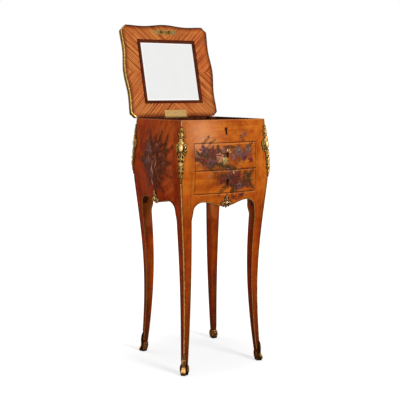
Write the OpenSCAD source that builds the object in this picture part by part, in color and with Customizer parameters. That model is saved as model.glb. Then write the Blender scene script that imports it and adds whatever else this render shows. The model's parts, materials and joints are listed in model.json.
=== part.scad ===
// Small square table with a swelling case on four curved legs.
// A hinged mirror lid covers a well, and two drawers sit under the well.
// Lengths are in millimetres. The floor is z = 0 and the front faces -Y.
// The table's centre line is the Z axis, and the lid stands open.

/* [Case] */
// Height of the rim of the case above the floor
rim_height = 725; // [690:1:760]
// Half the width of the case at its rim
rim_half = 137; // [133:0.5:142]
// Half the width of the case at its belly
belly_half = 148; // [144:0.1:152]
// Drop from the rim to the widest part of the belly
belly_drop = 140; // [120:1:160]
// How far the middle of the front stands out past its corners
front_crown = 10.5; // [4:0.1:14]
// How far the middle of each side stands out past its corners
side_crown = 7; // [2:0.1:12]
// Depth of the hollows beside the middle of the front
front_dip = 1.5; // [0:0.1:3]
// Depth of the hollows beside the middle of each side
side_dip = 1.2; // [0:0.1:3]
// Half the clear width between the corner posts
opening_half = 102; // [98:0.5:106]
// Half the clear distance between the flat inner faces of opposite walls
wall_plane = 124; // [121:0.5:127]

/* [Legs] */
// Half the spread of the legs' outer corners at the waist, their narrowest place
waist_half = 125.5; // [122:0.5:130]
// Height of the waist
waist_height = 225; // [190:1:260]
// Half the spread of the legs' outer corners at the floor
toe_half = 134.5; // [130:0.5:138]
// Side of the square leg just under the apron
knee_side = 30.5; // [27:0.5:34]
// Side of the square leg at the floor
ankle_side = 12.8; // [11:0.1:16]
// Width taken off each face at the outer corner for the brass strip
corner_cant = 2.8; // [2:0.1:4]

/* [Aprons] */
// Depth of the apron at its shoulders, below the lower drawer
apron_depth = 24; // [20:0.5:30]
// Distance of each shoulder from the middle of the face
shoulder_half = 72; // [60:1:82]
// How far the middle of the apron hangs below its shoulders
apron_drop = 16; // [8:0.5:20]
// How far the middle of each other apron hangs down
side_drop = 10; // [6:0.5:14]
// Height of the rounded corner between the shoulder and the leg
arc_rise = 25; // [18:0.5:32]
// Height over which the rounded corner fades into the leg
arc_fade = 27; // [20:0.5:34]

/* [Well and drawers] */
// Height of the frieze above the drawers
frieze_height = 64; // [58:0.5:70]
// Height of the upper drawer's front
upper_height = 76; // [70:0.5:84]
// Height of the lower drawer's front
lower_height = 66; // [62:0.5:74]
// Thickness of the well's floor
well_floor_thick = 8; // [7.5:0.5:10]
// Thickness of the rail between the drawers
rail_thick = 10; // [8:0.5:12]
// Depth of that rail from front to back
rail_depth = 24; // [18:0.5:30]
// Thickness of the bottom board
bottom_thick = 6; // [5:0.5:8]
// Gap round each drawer front
front_gap = 0.6; // [0.4:0.1:1]
// Running gap of each drawer on its runners
drawer_gap = 0.3; // [0.2:0.1:0.5]
// Room beside each drawer, to the posts
drawer_side_gap = 2; // [1.5:0.1:3]
// Length of each drawer behind its front
drawer_length = 224; // [200:1:236]
// Thickness of the drawer sides and backs
lining_thick = 7.5; // [6:0.1:9]
// Thickness of the drawer bottoms
drawer_bottom_thick = 4; // [3:0.1:5]
// Room between the drawer sides and what is above them
headroom = 3; // [2:0.1:5]
// Depth of the grooves that hold the drawer bottoms
groove_depth = 3; // [2:0.1:4]
// Height of the drawer bottoms above the lower edge of the sides
bottom_lift = 3; // [2:0.1:4]
// Number of dovetails at each corner of a drawer
tail_count = 3; // [2:1:4]
// Depth of the dovetails in the drawer fronts
tail_depth = 9; // [6:0.5:12]
// How much each dovetail spreads on either side
tail_flare = 1.6; // [0.8:0.1:2]
// Half the thickness of the thin pins at the drawers' rear corners
pin_half = 1.6; // [1.2:0.1:2.4]
// Thickness of the lower drawer's runners
runner_thick = 6; // [5:0.1:8]
// Width of the runners' ledge under the drawer sides
ledge_width = 16; // [12:0.5:20]
// Height of the guides beside the drawers
guide_height = 8; // [6:0.5:12]

/* [Lid] */
// Half the width of the lid
lid_half = 151.5; // [148:0.5:156]
// Length of the lid from the hinge to the corners of its front edge
lid_length = 292; // [286:0.5:298]
// Thickness of the lid
lid_thick = 18; // [15:0.5:22]
// Length cut off each side at the lid's corners
lid_cut = 13.8; // [8:0.1:18]
// How far the middle of the lid's edges stands out
lid_crown = 4; // [1:0.1:6]
// Depth of the hollows along the lid's edges
lid_dip = 4; // [0:0.1:5]
// Thickness of the brass moulding round the lid
moulding_thick = 3.5; // [2.5:0.1:5]
// Angle through which the lid is opened
lid_open = 104.8; // [95:0.1:110]
// Gap between the closed lid and the rim
lid_gap = 0.6; // [0.4:0.1:1]

/* [Mirror] */
// Half the width of the mirror frame
frame_half = 101; // [96:0.5:101]
// Distance from the hinge to the near edge of the mirror frame
frame_near = 44; // [38:0.5:46]
// Length of the mirror frame away from the hinge
frame_length = 202; // [192:0.5:206]
// Width of the frame's sides
frame_side = 9; // [7:0.5:12]
// How far the frame stands out of the lid
frame_proud = 5; // [3:0.1:8]
// Thickness of the mirror glass
glass_thick = 3; // [2:0.1:4]
// Thickness of the board behind the glass
backing_thick = 2; // [1.5:0.1:3]
// How far the glass reaches under the frame
glass_rebate = 3; // [2:0.1:5]
// Width of the bevel round the glass
bevel_width = 6; // [3:0.5:12]
// Depth of that bevel
bevel_depth = 0.9; // [0.4:0.1:1.2]

/* [Hinge] */
// Width of the hinge leaves
leaf_width = 76; // [60:0.5:90]
// Length of the leaf let into the lid
lid_leaf_length = 20; // [14:0.5:24]
// Distance from the hinge's axis to the seen part of that leaf
leaf_setback = 2.5; // [2:0.1:4]
// Length of the leaf let into the back wall
case_leaf_length = 9.5; // [7:0.1:10]
// Thickness of the leaves
leaf_thick = 1.6; // [1.2:0.1:2]
// Radius of the hinge knuckles
knuckle_r = 2.6; // [2.4:0.1:3]
// Radius of the hinge pin
hinge_pin_r = 1.2; // [1:0.1:1.4]
// Running clearance of the pin in its knuckles
pin_clearance = 0.06; // [0.04:0.01:0.09]

/* [Locks] */
// Travel of every bolt
bolt_travel = 6; // [4:0.5:7]
// Width of the drawer locks
lock_width = 40; // [30:0.5:50]
// Height of the drawer locks
lock_height = 36; // [32:0.5:38]
// Thickness of the drawer locks
lock_thick = 12; // [10:0.5:13]
// How far the drawer locks are let into the fronts
lock_inlet = 4; // [2:0.5:6]
// Width of the drawer bolts
bolt_width = 12; // [8:0.5:16]
// Thickness of the drawer bolts
bolt_thick = 2.6; // [2:0.1:3.2]
// Clearance round every bolt
bolt_clearance = 0.3; // [0.2:0.05:0.5]
// Height of the keyhole above the upper drawer's lower edge
upper_key_height = 45; // [38:0.5:50]
// Height of the keyhole above the lower drawer's lower edge
lower_key_height = 35; // [33:0.5:40]
// Depth of the frieze's keyhole below the rim
lid_key_depth = 26; // [24:0.5:28]
// Radius of the round top of each keyhole
key_r = 3.1; // [2.4:0.1:3.4]
// Width of the slot of each keyhole
key_slot = 3.2; // [2.4:0.1:3.6]
// Length of the slot of each keyhole
key_slot_length = 11; // [8:0.1:11.5]
// Length of the slot of the frieze's keyhole
lid_slot_length = 14.8; // [11:0.1:16]
// Width of the catch plate in the lid and of the plate over its lock
catch_width = 79; // [70:0.5:90]
// Depth of both plates from front to back
catch_depth = 14; // [13.6:0.1:14]
// Thickness of both plates
catch_thick = 2; // [1.5:0.1:2.5]
// Distance from the hinge to the middle of the catch plate
catch_reach = 271.5; // [270.9:0.1:272]
// Width of the lid lock's case
lid_lock_width = 60; // [56:0.5:70]
// Height of the lid lock's case
lid_lock_height = 45; // [42:0.5:50]
// Distance of each staple from the middle of the catch plate
staple_half = 14; // [13:0.5:16]
// How far the staples hang below the lid
staple_drop = 10; // [9:0.5:12]
// Width of the staples from front to back
staple_width = 8; // [7.6:0.1:8.2]
// Thickness of the staples' metal
staple_thick = 2; // [1.5:0.1:2.2]

/* [Gilt mounts] */
// Length of the corner mounts
chute_length = 155; // [145:1:170]
// Distance from the rim to the top of the corner mounts
chute_start = 17; // [10:0.5:22]
// Half the width of the corner mounts on each face
chute_half = 22; // [17:0.5:26]
// How far the corner mounts stand out
chute_relief = 6.5; // [4:0.1:8]
// Height of the apron mounts
mount_height = 43; // [34:0.5:48]
// Half the width of the apron mounts
mount_half = 19; // [14:0.5:24]
// How far the apron mounts stand out
mount_relief = 6; // [3:0.1:8]
// How far the apron mounts hang below the apron's edge
mount_hang = 4; // [2:0.1:6]
// Width of the beads round the aprons and down the legs
bead_width = 3; // [2:0.1:4]
// How far the beads stand out
bead_relief = 1.6; // [1:0.1:2.4]
// Width of the strips down the corners
strip_width = 4.6; // [3:0.1:5]
// How far the strips stand out
strip_relief = 2; // [1.2:0.1:2.6]
// Height of the leaf at the front of each shoe
sabot_leaf = 62; // [50:1:74]
// Height of each shoe at its inner corner
sabot_height = 29; // [22:0.5:36]
// Thickness of the shoes' walls
sabot_wall = 2.4; // [1.6:0.1:3]
// How far the toe of each shoe kicks out
toe_kick = 6.2; // [3:0.1:8]
// How far the leaf on each shoe swells
leaf_swell = 1.4; // [0:0.1:2.5]
// Height of the wooden leg's end inside its shoe
sole_thick = 8; // [5:0.5:12]
// Seating clearance of the gilt mounts on the wood
seat = 0.15; // [0.1:0.01:0.25]

/* [Hidden] */

// Fineness of round parts
$fn = 32;

// Finishes
VENEER = "peru";
CASE_WOOD = "chocolate";
LINING = "burlywood";
GILT = "goldenrod";
IRON = "dimgray";

// Swell of the front, right, back and left faces
crowns = [front_crown, side_crown, 0, side_crown];
dips = [front_dip, side_dip, 0, side_dip];

// Levels of the pieces, from the rim down
belly_z = rim_height - belly_drop;
upper_top = rim_height - frieze_height;
upper_foot = upper_top - upper_height;
apron_top = upper_foot - lower_height;
shoulder_z = apron_top - apron_depth;
arc_z = shoulder_z - arc_rise;
spring_z = arc_z - arc_fade;

// Shares that shape the long curve of the corners
RIM_TURN = 1.3;
KNEE_TURN = 1.2;
TOE_TURN = 2;
RIM_FLAT = 0.38;
SWELL_FADE = 3;

// Counts of steps along the curves
FOOT_STEPS = 4;
LEG_STEPS = 8;
FADE_STEPS = 3;
ARC_STEPS = 5;
DROP_STEPS = 6;
CASE_STEPS = 9;
FACE_STEPS = 3;
FRONT_STEPS = 10;
FRIEZE_ROWS = 4;
APRON_ROWS = 2;
inner_chamfer = 1.5;

// How far a cut or a tongue runs past the face that it passes through
PAST = 1;

function mix(a, b, t) = a + (b - a) * t;
function ease(t) = (1 - cos(180 * t)) / 2;

// Distance of the corner from each centre plane at height z: swelling from
// the rim to the belly, drawn in to the waist and kicked out at the toe
function corner_out(z) =
    z > belly_z
        ? mix(belly_half, rim_half, pow((z - belly_z) / belly_drop, RIM_TURN))
        : z > waist_height
            ? mix(belly_half, waist_half, pow(sin(90 * (belly_z - z) / (belly_z - waist_height)), KNEE_TURN))
            : mix(waist_half, toe_half, pow((waist_height - z) / waist_height, TOE_TURN));

// Share of the faces' swell that is left at height z
function swell(z) =
    z > belly_z
        ? 1 - RIM_FLAT * pow((z - belly_z) / belly_drop, 2)
        : 1 - pow(min(1, (belly_z - z) / (belly_z - spring_z)), SWELL_FADE);

// Distance of face f from the centre line, at u along the face and height z
function face_out(f, u, z) =
    let (out = corner_out(z), r = min(1, abs(u) / out))
    out + swell(z) * (crowns[f] * pow(cos(90 * r), 2) - dips[f] * pow(sin(180 * r), 2));

// Distance of the leg's inner edge from the middle of its face
function leg_side(z) = mix(ankle_side, knee_side, z / spring_z);
function leg_inner(z) =
    z >= arc_z
        ? opening_half
        : z > spring_z
            ? mix(corner_out(spring_z) - knee_side, opening_half, ease((z - spring_z) / arc_fade))
            : corner_out(z) - leg_side(z);

// Heights of the leg's sections, shared by all that lies along the leg
function steps(a, b, n, first = 0) = [for (i = [first:n]) mix(a, b, i / n)];
foot_levels = steps(sole_thick, sabot_leaf, FOOT_STEPS);
shank_levels = steps(sabot_leaf, spring_z, LEG_STEPS, 1);
fade_levels = steps(spring_z, arc_z, FADE_STEPS, 1);
case_levels = steps(arc_z, rim_height, CASE_STEPS, 1);
leg_levels = concat(foot_levels, shank_levels, fade_levels, case_levels);

// Section of corner k's leg at height z, grown by g, anticlockwise from above
function leg_section(k, z, g = 0) =
    let (out = corner_out(z), a = leg_inner(z), b = out - corner_cant, n = FACE_STEPS, f = (k + 1) % 4)
    concat(
        [[a - g, -(a + inner_chamfer)]],
        [for (i = [0:n]) let (u = mix(a, b, i / n)) [i == 0 ? u - g : u, -face_out(k, u, z) - g]],
        [for (i = [0:n]) let (u = mix(b, a, i / n)) [face_out(f, u, z) + g, i == n ? g - u : -u]],
        [[a + inner_chamfer, g - a]]
    );
SECTION_POINTS = 2 * FACE_STEPS + 4;

// Faces of solids built on rows of points. Each row runs to the right and
// the rows run upwards, as seen from outside
function quad(a, b, c, d) = [[a, b, c], [a, c, d]];
function skin(first, rows, row) = [
    for (i = [0:rows - 2], j = [0:row - 2])
        let (p = first + i * row + j)
        each quad(p, p + row, p + row + 1, p + 1)
];
function back_skin(first, rows, row) = [
    for (i = [0:rows - 2], j = [0:row - 2])
        let (p = first + i * row + j)
        each quad(p, p + 1, p + row + 1, p + row)
];
// The skin of a closed ring, whose last point joins its first
function ring_skin(first, rows, row, inside = false) = [
    for (i = [0:rows - 2], j = [0:row - 1])
        let (p = first + i * row + j, q = first + i * row + (j + 1) % row)
        each inside ? quad(p, q, q + row, p + row) : quad(p, p + row, q + row, q)
];
// A solid through closed sections, listed from its foot to its head
module loft(sections) {
    n = len(sections);
    m = len(sections[0]);
    polyhedron(
        points = [for (s = sections) each s],
        faces = concat(
            ring_skin(0, n, m),
            [[for (j = [0:m - 1]) j]],
            [[for (j = [0:m - 1]) n * m - 1 - j]]
        )
    );
}
// A relief between an outer and an inner sheet with the same rows of points
module relief(outer, inner) {
    n = len(outer);
    m = len(outer[0]);
    s = n * m;
    t = (n - 1) * m;
    polyhedron(
        points = concat([for (r = outer) each r], [for (r = inner) each r]),
        faces = concat(
            skin(0, n, m),
            back_skin(s, n, m),
            [for (j = [0:m - 2]) each quad(j, j + 1, s + j + 1, s + j)],
            [for (j = [0:m - 2]) each quad(t + j + 1, t + j, s + t + j, s + t + j + 1)],
            [for (i = [0:n - 2]) let (p = i * m) each quad(p + m, p, s + p, s + p + m)],
            [for (i = [0:n - 2]) let (p = i * m + m - 1) each quad(p, p + m, s + p + m, s + p)]
        )
    );
}
// Turns a piece made for the front, or for the front right corner, to place k
module place(k) {
    rotate([0, 0, 90 * k]) children();
}
// A block given by its lowest and highest corners
module block(low, high) {
    translate(low) cube(high - low);
}

// Half of the apron's lower edge, from the post to the middle: a rounded
// corner, then a shoulder that falls to a hanging middle
arc_run = opening_half - shoulder_half;
drops = [apron_drop, side_drop, side_drop, side_drop];
function apron_edge(f) = concat(
    [for (i = [0:ARC_STEPS - 1])
        let (a = 90 * i / ARC_STEPS) [shoulder_half + arc_run * cos(a), arc_z + arc_rise * sin(a)]],
    [for (i = [0:DROP_STEPS])
        let (u = shoulder_half * (1 - i / DROP_STEPS))
        [u, shoulder_z - drops[f] * (1 + cos(180 * u / shoulder_half)) / 2]]
);
function apron_outline(f) = let (edge = apron_edge(f)) concat(
    [for (p = edge) [-p[0], p[1]]],
    [for (i = [len(edge) - 2:-1:0]) edge[i]]
);
function level_edge(half, z) = [for (i = [0:FRONT_STEPS]) [mix(-half, half, i / FRONT_STEPS), z]];

// A swelling board on face f, from its lower edge up to a level top, with a
// flat back
module swelling_board(f, edge, top, back, rows) {
    m = len(edge);
    s = (rows + 1) * m;
    last = rows * m;
    front = [for (i = [0:rows], p = edge)
        let (z = mix(p[1], top, i / rows)) [p[0], -face_out(f, p[0], z), z]];
    foot = [for (p = edge) [p[0], -back, p[1]]];
    head = [for (p = edge) [p[0], -back, top]];
    place(f) polyhedron(
        points = concat(front, foot, head),
        faces = concat(
            skin(0, rows + 1, m),
            back_skin(s, 2, m),
            [for (j = [0:m - 2]) each quad(j, j + 1, s + j + 1, s + j)],
            [for (j = [0:m - 2]) each quad(last + j + 1, last + j, s + m + j, s + m + j + 1)],
            [for (i = [0:rows - 1]) [s + m, (i + 1) * m, i * m]],
            [[s + m, 0, s]],
            [for (i = [0:rows - 1]) [s + 2 * m - 1, (i + 1) * m - 1, (i + 2) * m - 1]],
            [[s + 2 * m - 1, s + m - 1, m - 1]]
        )
    );
}

// A keyhole that runs in from the front to depth y, with its round top at
// height z and its slot running down from there
module keyhole(z, y, run = key_slot_length) {
    far = rim_half + belly_drop;
    translate([0, y, z]) rotate([90, 0, 0]) cylinder(r = key_r, h = far);
    block([-key_slot / 2, y - far, z - run], [key_slot / 2, y, z]);
}

// Places that the locks and drawers share
rail_foot = upper_foot - rail_thick / 2;
rail_head = upper_foot + rail_thick / 2;
well_floor_foot = upper_top - well_floor_thick;
BOTTOM_DROP = 1;
bottom_head = apron_top - BOTTOM_DROP;
lower_run = bottom_head + runner_thick;
front_back = wall_plane + drawer_gap;
lock_front = front_back + lock_inlet;
lock_back = lock_front - lock_thick;
LOCK_DROP = 2;
LOCK_PLATE = 2;
MORTISE_ROOM = 1.5;
MORTISE_SIDE = 1;
bolt_y = lock_back + bolt_thick;
mortise_depth = bolt_travel - LOCK_DROP + MORTISE_ROOM;

// The hinge's axis lies just behind and above the back edge of the rim
HINGE_STANDOFF = 0.2;
hinge_y = rim_half + knuckle_r + HINGE_STANDOFF;
hinge_z = rim_height + lid_gap / 2;
leaf_root = hinge_y - knuckle_r - HINGE_STANDOFF - seat;
catch_y = hinge_y - catch_reach;

module leg(k) {
    color(VENEER) place(k)
    loft([for (z = leg_levels) [for (p = leg_section(k, z)) [p[0], p[1], z]]]);
}

module frieze_rail() {
    color(VENEER) difference() {
        swelling_board(0, level_edge(opening_half, upper_top), rim_height, wall_plane, FRIEZE_ROWS);
        lid_lock_space(seat);
        keyhole(rim_height - lid_key_depth, -wall_plane, lid_slot_length);
    }
}

module front_apron() {
    color(VENEER) swelling_board(0, apron_outline(0), apron_top, wall_plane, APRON_ROWS);
}

module right_side() {
    color(CASE_WOOD) swelling_board(1, apron_outline(1), rim_height, wall_plane, CASE_STEPS);
}

module left_side() {
    color(CASE_WOOD) swelling_board(3, apron_outline(3), rim_height, wall_plane, CASE_STEPS);
}

module back_panel() {
    color(CASE_WOOD) difference() {
        swelling_board(2, apron_outline(2), rim_height, wall_plane, CASE_STEPS);
        block(
            [-leaf_width / 2 - seat, leaf_root - case_leaf_length - seat, rim_height - leaf_thick],
            [leaf_width / 2 + seat, rim_half + PAST, rim_height + PAST]
        );
    }
}

// A board that fills the case between the walls and the corner posts
module case_board(foot, thick) {
    w = wall_plane;
    o = opening_half;
    translate([0, 0, foot]) linear_extrude(height = thick) union() {
        square([2 * w, 2 * o], center = true);
        square([2 * o, 2 * w], center = true);
    }
}

// The slot that a drawer's bolt rises into, cut up from height z
module bolt_mortise(z) {
    c = bolt_clearance;
    block(
        [-bolt_width / 2 - MORTISE_SIDE, -bolt_y - bolt_thick / 2 - c, z - PAST],
        [bolt_width / 2 + MORTISE_SIDE, -bolt_y + bolt_thick / 2 + c, z + mortise_depth]
    );
}

module well_floor() {
    color(CASE_WOOD) difference() {
        case_board(well_floor_foot, well_floor_thick);
        bolt_mortise(well_floor_foot);
    }
}

module drawer_rail() {
    color(CASE_WOOD) difference() {
        block([-opening_half, -wall_plane, rail_foot], [opening_half, rail_depth - wall_plane, rail_head]);
        bolt_mortise(rail_foot);
    }
}

module bottom_board() {
    color(CASE_WOOD) case_board(bottom_head - bottom_thick, bottom_thick);
}

// A pair of runners: a ledge under the drawer's sides that starts behind the
// rail, with a guide between the posts
drawer_half = opening_half - drawer_side_gap;
module runners(foot, head) {
    ledge = drawer_half - ledge_width;
    inside = opening_half - seat;
    front = rail_depth - wall_plane;
    guide = max(front, -inside);
    for (side = [0, 1]) mirror([side, 0, 0]) union() {
        block([ledge, front, foot], [inside, wall_plane, head]);
        block([ledge, guide, foot], [wall_plane, inside, head]);
        block([drawer_half + front_gap, guide, foot], [wall_plane, inside, head + guide_height]);
    }
}

module upper_runners() {
    color(LINING) runners(rail_foot, rail_head);
}

module lower_runners() {
    color(LINING) runners(bottom_head, lower_run);
}

// A dovetail or pin, cut off square at x0 and x1, that runs from y0 to y1
// round height z. Its half height goes from a to b, and it is grown by g
module wedge(x0, x1, y0, y1, z, a, b, g = 0) {
    e = g * sign(y1 - y0);
    translate([x0, 0, 0]) rotate([90, 0, 90]) linear_extrude(height = x1 - x0)
    polygon([[y0 - e, z - a - g], [y1 + e, z - b - g], [y1 + e, z + b + g], [y0 - e, z + a + g]]);
}
TAIL_SHARE = 0.3;
lining_face = drawer_half - lining_thick;
drawer_rear = drawer_length - front_back;
// The dovetails at the front end of a drawer side from run to head
module tails(run, head, x0, x1, g = 0) {
    pitch = (head - run) / tail_count;
    for (i = [0.5:tail_count])
        wedge(
            x0, x1, -front_back, -front_back - tail_depth, run + i * pitch,
            pitch * TAIL_SHARE, pitch * TAIL_SHARE + tail_flare, g
        );
}
// The pins at the ends of a drawer back, between the sides' rear dovetails
module pins(run, head, x0, x1, g = 0) {
    pitch = (head - run) / tail_count;
    for (i = [1:tail_count - 1])
        wedge(
            x0, x1, drawer_rear - lining_thick, drawer_rear, run + i * pitch,
            pin_half + tail_flare, pin_half, g
        );
}

// The five boards of a drawer whose front spans foot to head, whose sides
// span run to box_head and whose lock's top is at lock_head
module drawer_front(foot, head, key_height, lock_head, run, box_head) {
    half = opening_half - front_gap;
    groove = lining_face + groove_depth;
    difference() {
        swelling_board(
            0, level_edge(half, foot + front_gap / 2), head - front_gap / 2, front_back, FRIEZE_ROWS
        );
        block(
            [-lock_width / 2 - seat, -lock_front - seat, lock_head - lock_height - seat],
            [lock_width / 2 + seat, -front_back + PAST, lock_head + seat]
        );
        keyhole(foot + key_height, -front_back);
        block(
            [-groove, -front_back - groove_depth, run + bottom_lift - seat],
            [groove, -front_back + PAST, run + bottom_lift + drawer_bottom_thick + seat]
        );
        for (side = [0, 1]) mirror([side, 0, 0]) tails(run, box_head, lining_face - seat, half + PAST, seat);
    }
}
module drawer_side(side, run, head) {
    mirror([side, 0, 0]) difference() {
        union() {
            block([lining_face, -front_back, run], [drawer_half, drawer_rear, head]);
            tails(run, head, lining_face, drawer_half);
        }
        block(
            [lining_face - PAST, -front_back - tail_depth - PAST, run + bottom_lift],
            [lining_face + groove_depth, drawer_rear + PAST, run + bottom_lift + drawer_bottom_thick]
        );
        pins(run, head, lining_face - PAST, drawer_half + PAST, seat);
    }
}
module drawer_back(run, head) {
    union() {
        block(
            [-lining_face, drawer_rear - lining_thick, run + bottom_lift + drawer_bottom_thick],
            [lining_face, drawer_rear, head]
        );
        pins(run, head, -drawer_half, drawer_half);
    }
}
module drawer_bottom(run) {
    half = lining_face + groove_depth - seat;
    block(
        [-half, -front_back - groove_depth + seat, run + bottom_lift],
        [half, drawer_rear, run + bottom_lift + drawer_bottom_thick]
    );
}
// A drawer lock with its bolt's channel and its keyhole
module drawer_lock(lock_head, key_z) {
    c = bolt_clearance;
    difference() {
        block(
            [-lock_width / 2, -lock_front, lock_head - lock_height],
            [lock_width / 2, -lock_back, lock_head]
        );
        block(
            [-bolt_width / 2 - c, -bolt_y - bolt_thick / 2 - c, lock_head - 2 * bolt_travel],
            [bolt_width / 2 + c, -bolt_y + bolt_thick / 2 + c, lock_head + PAST]
        );
        keyhole(key_z, -lock_front + LOCK_PLATE);
    }
}
module drawer_bolt(lock_head) {
    block(
        [-bolt_width / 2, -bolt_y - bolt_thick / 2, lock_head - 2 * bolt_travel],
        [bolt_width / 2, -bolt_y + bolt_thick / 2, lock_head]
    );
}

upper_run = rail_head + drawer_gap;
upper_box_head = well_floor_foot - headroom;
upper_lock_head = well_floor_foot - LOCK_DROP;
lower_drawer_run = lower_run + drawer_gap;
lower_box_head = rail_foot - headroom;
lower_lock_head = rail_foot - LOCK_DROP;

module upper_drawer_front() {
    color(VENEER)
    drawer_front(upper_foot, upper_top, upper_key_height, upper_lock_head, upper_run, upper_box_head);
}
module upper_drawer_left() {
    color(LINING) drawer_side(1, upper_run, upper_box_head);
}
module upper_drawer_right() {
    color(LINING) drawer_side(0, upper_run, upper_box_head);
}
module upper_drawer_back() {
    color(LINING) drawer_back(upper_run, upper_box_head);
}
module upper_drawer_bottom() {
    color(LINING) drawer_bottom(upper_run);
}
module upper_lock() {
    color(IRON) drawer_lock(upper_lock_head, upper_foot + upper_key_height);
}
module upper_bolt() {
    color(GILT) drawer_bolt(upper_lock_head);
}
module lower_drawer_front() {
    color(VENEER)
    drawer_front(apron_top, upper_foot, lower_key_height, lower_lock_head, lower_drawer_run, lower_box_head);
}
module lower_drawer_left() {
    color(LINING) drawer_side(1, lower_drawer_run, lower_box_head);
}
module lower_drawer_right() {
    color(LINING) drawer_side(0, lower_drawer_run, lower_box_head);
}
module lower_drawer_back() {
    color(LINING) drawer_back(lower_drawer_run, lower_box_head);
}
module lower_drawer_bottom() {
    color(LINING) drawer_bottom(lower_drawer_run);
}
module lower_lock() {
    color(IRON) drawer_lock(lower_lock_head, apron_top + lower_key_height);
}
module lower_bolt() {
    color(GILT) drawer_bolt(lower_lock_head);
}

// The lid's lock: a case in the frieze, open at the top for the staples,
// with a bolt that slides along X through them
LOCK_WALL = 1.5;
PLATE_LIP = 0.7;
STAPLE_ROOM = 1;
EYE_ROOM = 0.5;
NOSE_STEM = 2;
NOSE_ROOM = 1;
eye_drop = staple_drop - staple_thick;
bolt_floor = rim_height - staple_drop - 2 * LOCK_WALL - bolt_travel;
nose_head = rim_height - catch_thick - NOSE_ROOM;
nose_foot = rim_height + lid_gap - eye_drop + STAPLE_ROOM;
staple_run = staple_thick / 2 + STAPLE_ROOM;
nose_half = staple_width / 2 - staple_thick - EYE_ROOM;
plate_foot = rim_height - catch_thick;
lock_face = catch_y - catch_depth / 2 + PLATE_LIP;
module lid_lock_space(grow) {
    block(
        [-lid_lock_width / 2 - grow, lock_face - grow, rim_height - lid_lock_height],
        [lid_lock_width / 2 + grow, grow - wall_plane, plate_foot + PAST]
    );
    block(
        [-catch_width / 2 - grow, catch_y - catch_depth / 2 - grow, plate_foot],
        [catch_width / 2 + grow, catch_y + catch_depth / 2 + grow, rim_height + PAST]
    );
}
module lid_lock() {
    half = lid_lock_width / 2;
    color(IRON) difference() {
        union() {
            block(
                [-half, lock_face, rim_height - lid_lock_height + seat],
                [half, -wall_plane, plate_foot]
            );
            block(
                [-catch_width / 2, catch_y - catch_depth / 2, plate_foot],
                [catch_width / 2, catch_y + catch_depth / 2, rim_height]
            );
        }
        block(
            [LOCK_WALL - half, lock_face + LOCK_WALL, bolt_floor],
            [half - LOCK_WALL, -wall_plane - LOCK_WALL, plate_foot]
        );
        for (x = [-staple_half, staple_half])
            block(
                [x - staple_run, catch_y - staple_width / 2 - STAPLE_ROOM, bolt_floor],
                [x + staple_run, catch_y + staple_width / 2 + STAPLE_ROOM, rim_height + PAST]
            );
        keyhole(rim_height - lid_key_depth, lock_face + LOCK_PLATE, lid_slot_length);
    }
}
module lid_bolt() {
    y = catch_y;
    foot = bolt_floor + bolt_clearance;
    nose_run = bolt_travel + LOCK_WALL + NOSE_STEM;
    color(GILT) {
        block(
            [-staple_half - staple_run - nose_run, y - bolt_thick, foot],
            [staple_half, y + bolt_thick, foot + LOCK_WALL]
        );
        for (x = [-staple_half, staple_half]) {
            tip = x - staple_run;
            heel = tip - nose_run;
            block([heel, y - nose_half, foot], [heel + NOSE_STEM, y + nose_half, nose_head]);
            block([heel, y - nose_half, nose_foot], [tip, y + nose_half, nose_head]);
        }
    }
}

// Turns a piece of the lid from its closed place to its open one
module open_lid() {
    translate([0, hinge_y, hinge_z]) rotate([-lid_open, 0, 0]) translate([0, -hinge_y, -hinge_z])
    children();
}

// Outline of the lid's board, from the back edge round the front and back
// again, clockwise from above
lid_foot = rim_height + lid_gap;
lid_back = rim_half;
lid_front = hinge_y - lid_length + moulding_thick;
board_half = lid_half - moulding_thick;
EDGE_STEPS = 12;
function lid_wave(r) = lid_crown * pow(cos(90 * r), 2) - lid_dip * pow(sin(180 * r), 2);
side_run = (lid_back - lid_front) / 2 - lid_cut;
side_middle = (lid_back + lid_front) / 2;
front_run = board_half - lid_cut;
function side_edge(s) = [
    for (i = [0:EDGE_STEPS]) let (r = s * (1 - 2 * i / EDGE_STEPS))
        [s * (board_half + lid_wave(r)), side_middle + r * side_run]
];
lid_edge = concat(
    [[front_run, lid_back]],
    side_edge(1),
    [for (i = [0:EDGE_STEPS]) let (r = 1 - 2 * i / EDGE_STEPS) [r * front_run, lid_front - lid_wave(r)]],
    side_edge(-1),
    [[-front_run, lid_back]]
);

// Outward direction at point i of the lid's edge, long enough that an
// offset along it keeps its width
function unit(v) = v / norm(v);
function left_of(v) = [-v[1], v[0]];
function edge_normal(path, i) =
    i == 0 || i == len(path) - 1
        ? [sign(path[i][0]) * sqrt(2), 0]
        : let (
            a = left_of(unit(path[i] - path[i - 1])),
            b = left_of(unit(path[i + 1] - path[i])),
            m = unit(a + b)
        )
        m / (m * a);

module lid_board() {
    color(VENEER) open_lid() difference() {
        translate([0, 0, lid_foot]) linear_extrude(height = lid_thick) polygon(lid_edge);
        mirror_space(glass_rebate + seat, glass_thick + backing_thick + seat);
        block(
            [-leaf_width / 2 - seat, hinge_y - lid_leaf_length - leaf_setback - seat, lid_foot - PAST],
            [leaf_width / 2 + seat, lid_back + PAST, lid_foot + leaf_thick + seat]
        );
        block(
            [-catch_width / 2 - seat, catch_y - catch_depth / 2 - seat, lid_foot - PAST],
            [catch_width / 2 + seat, catch_y + catch_depth / 2 + seat, lid_foot + catch_thick + seat]
        );
    }
}

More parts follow.
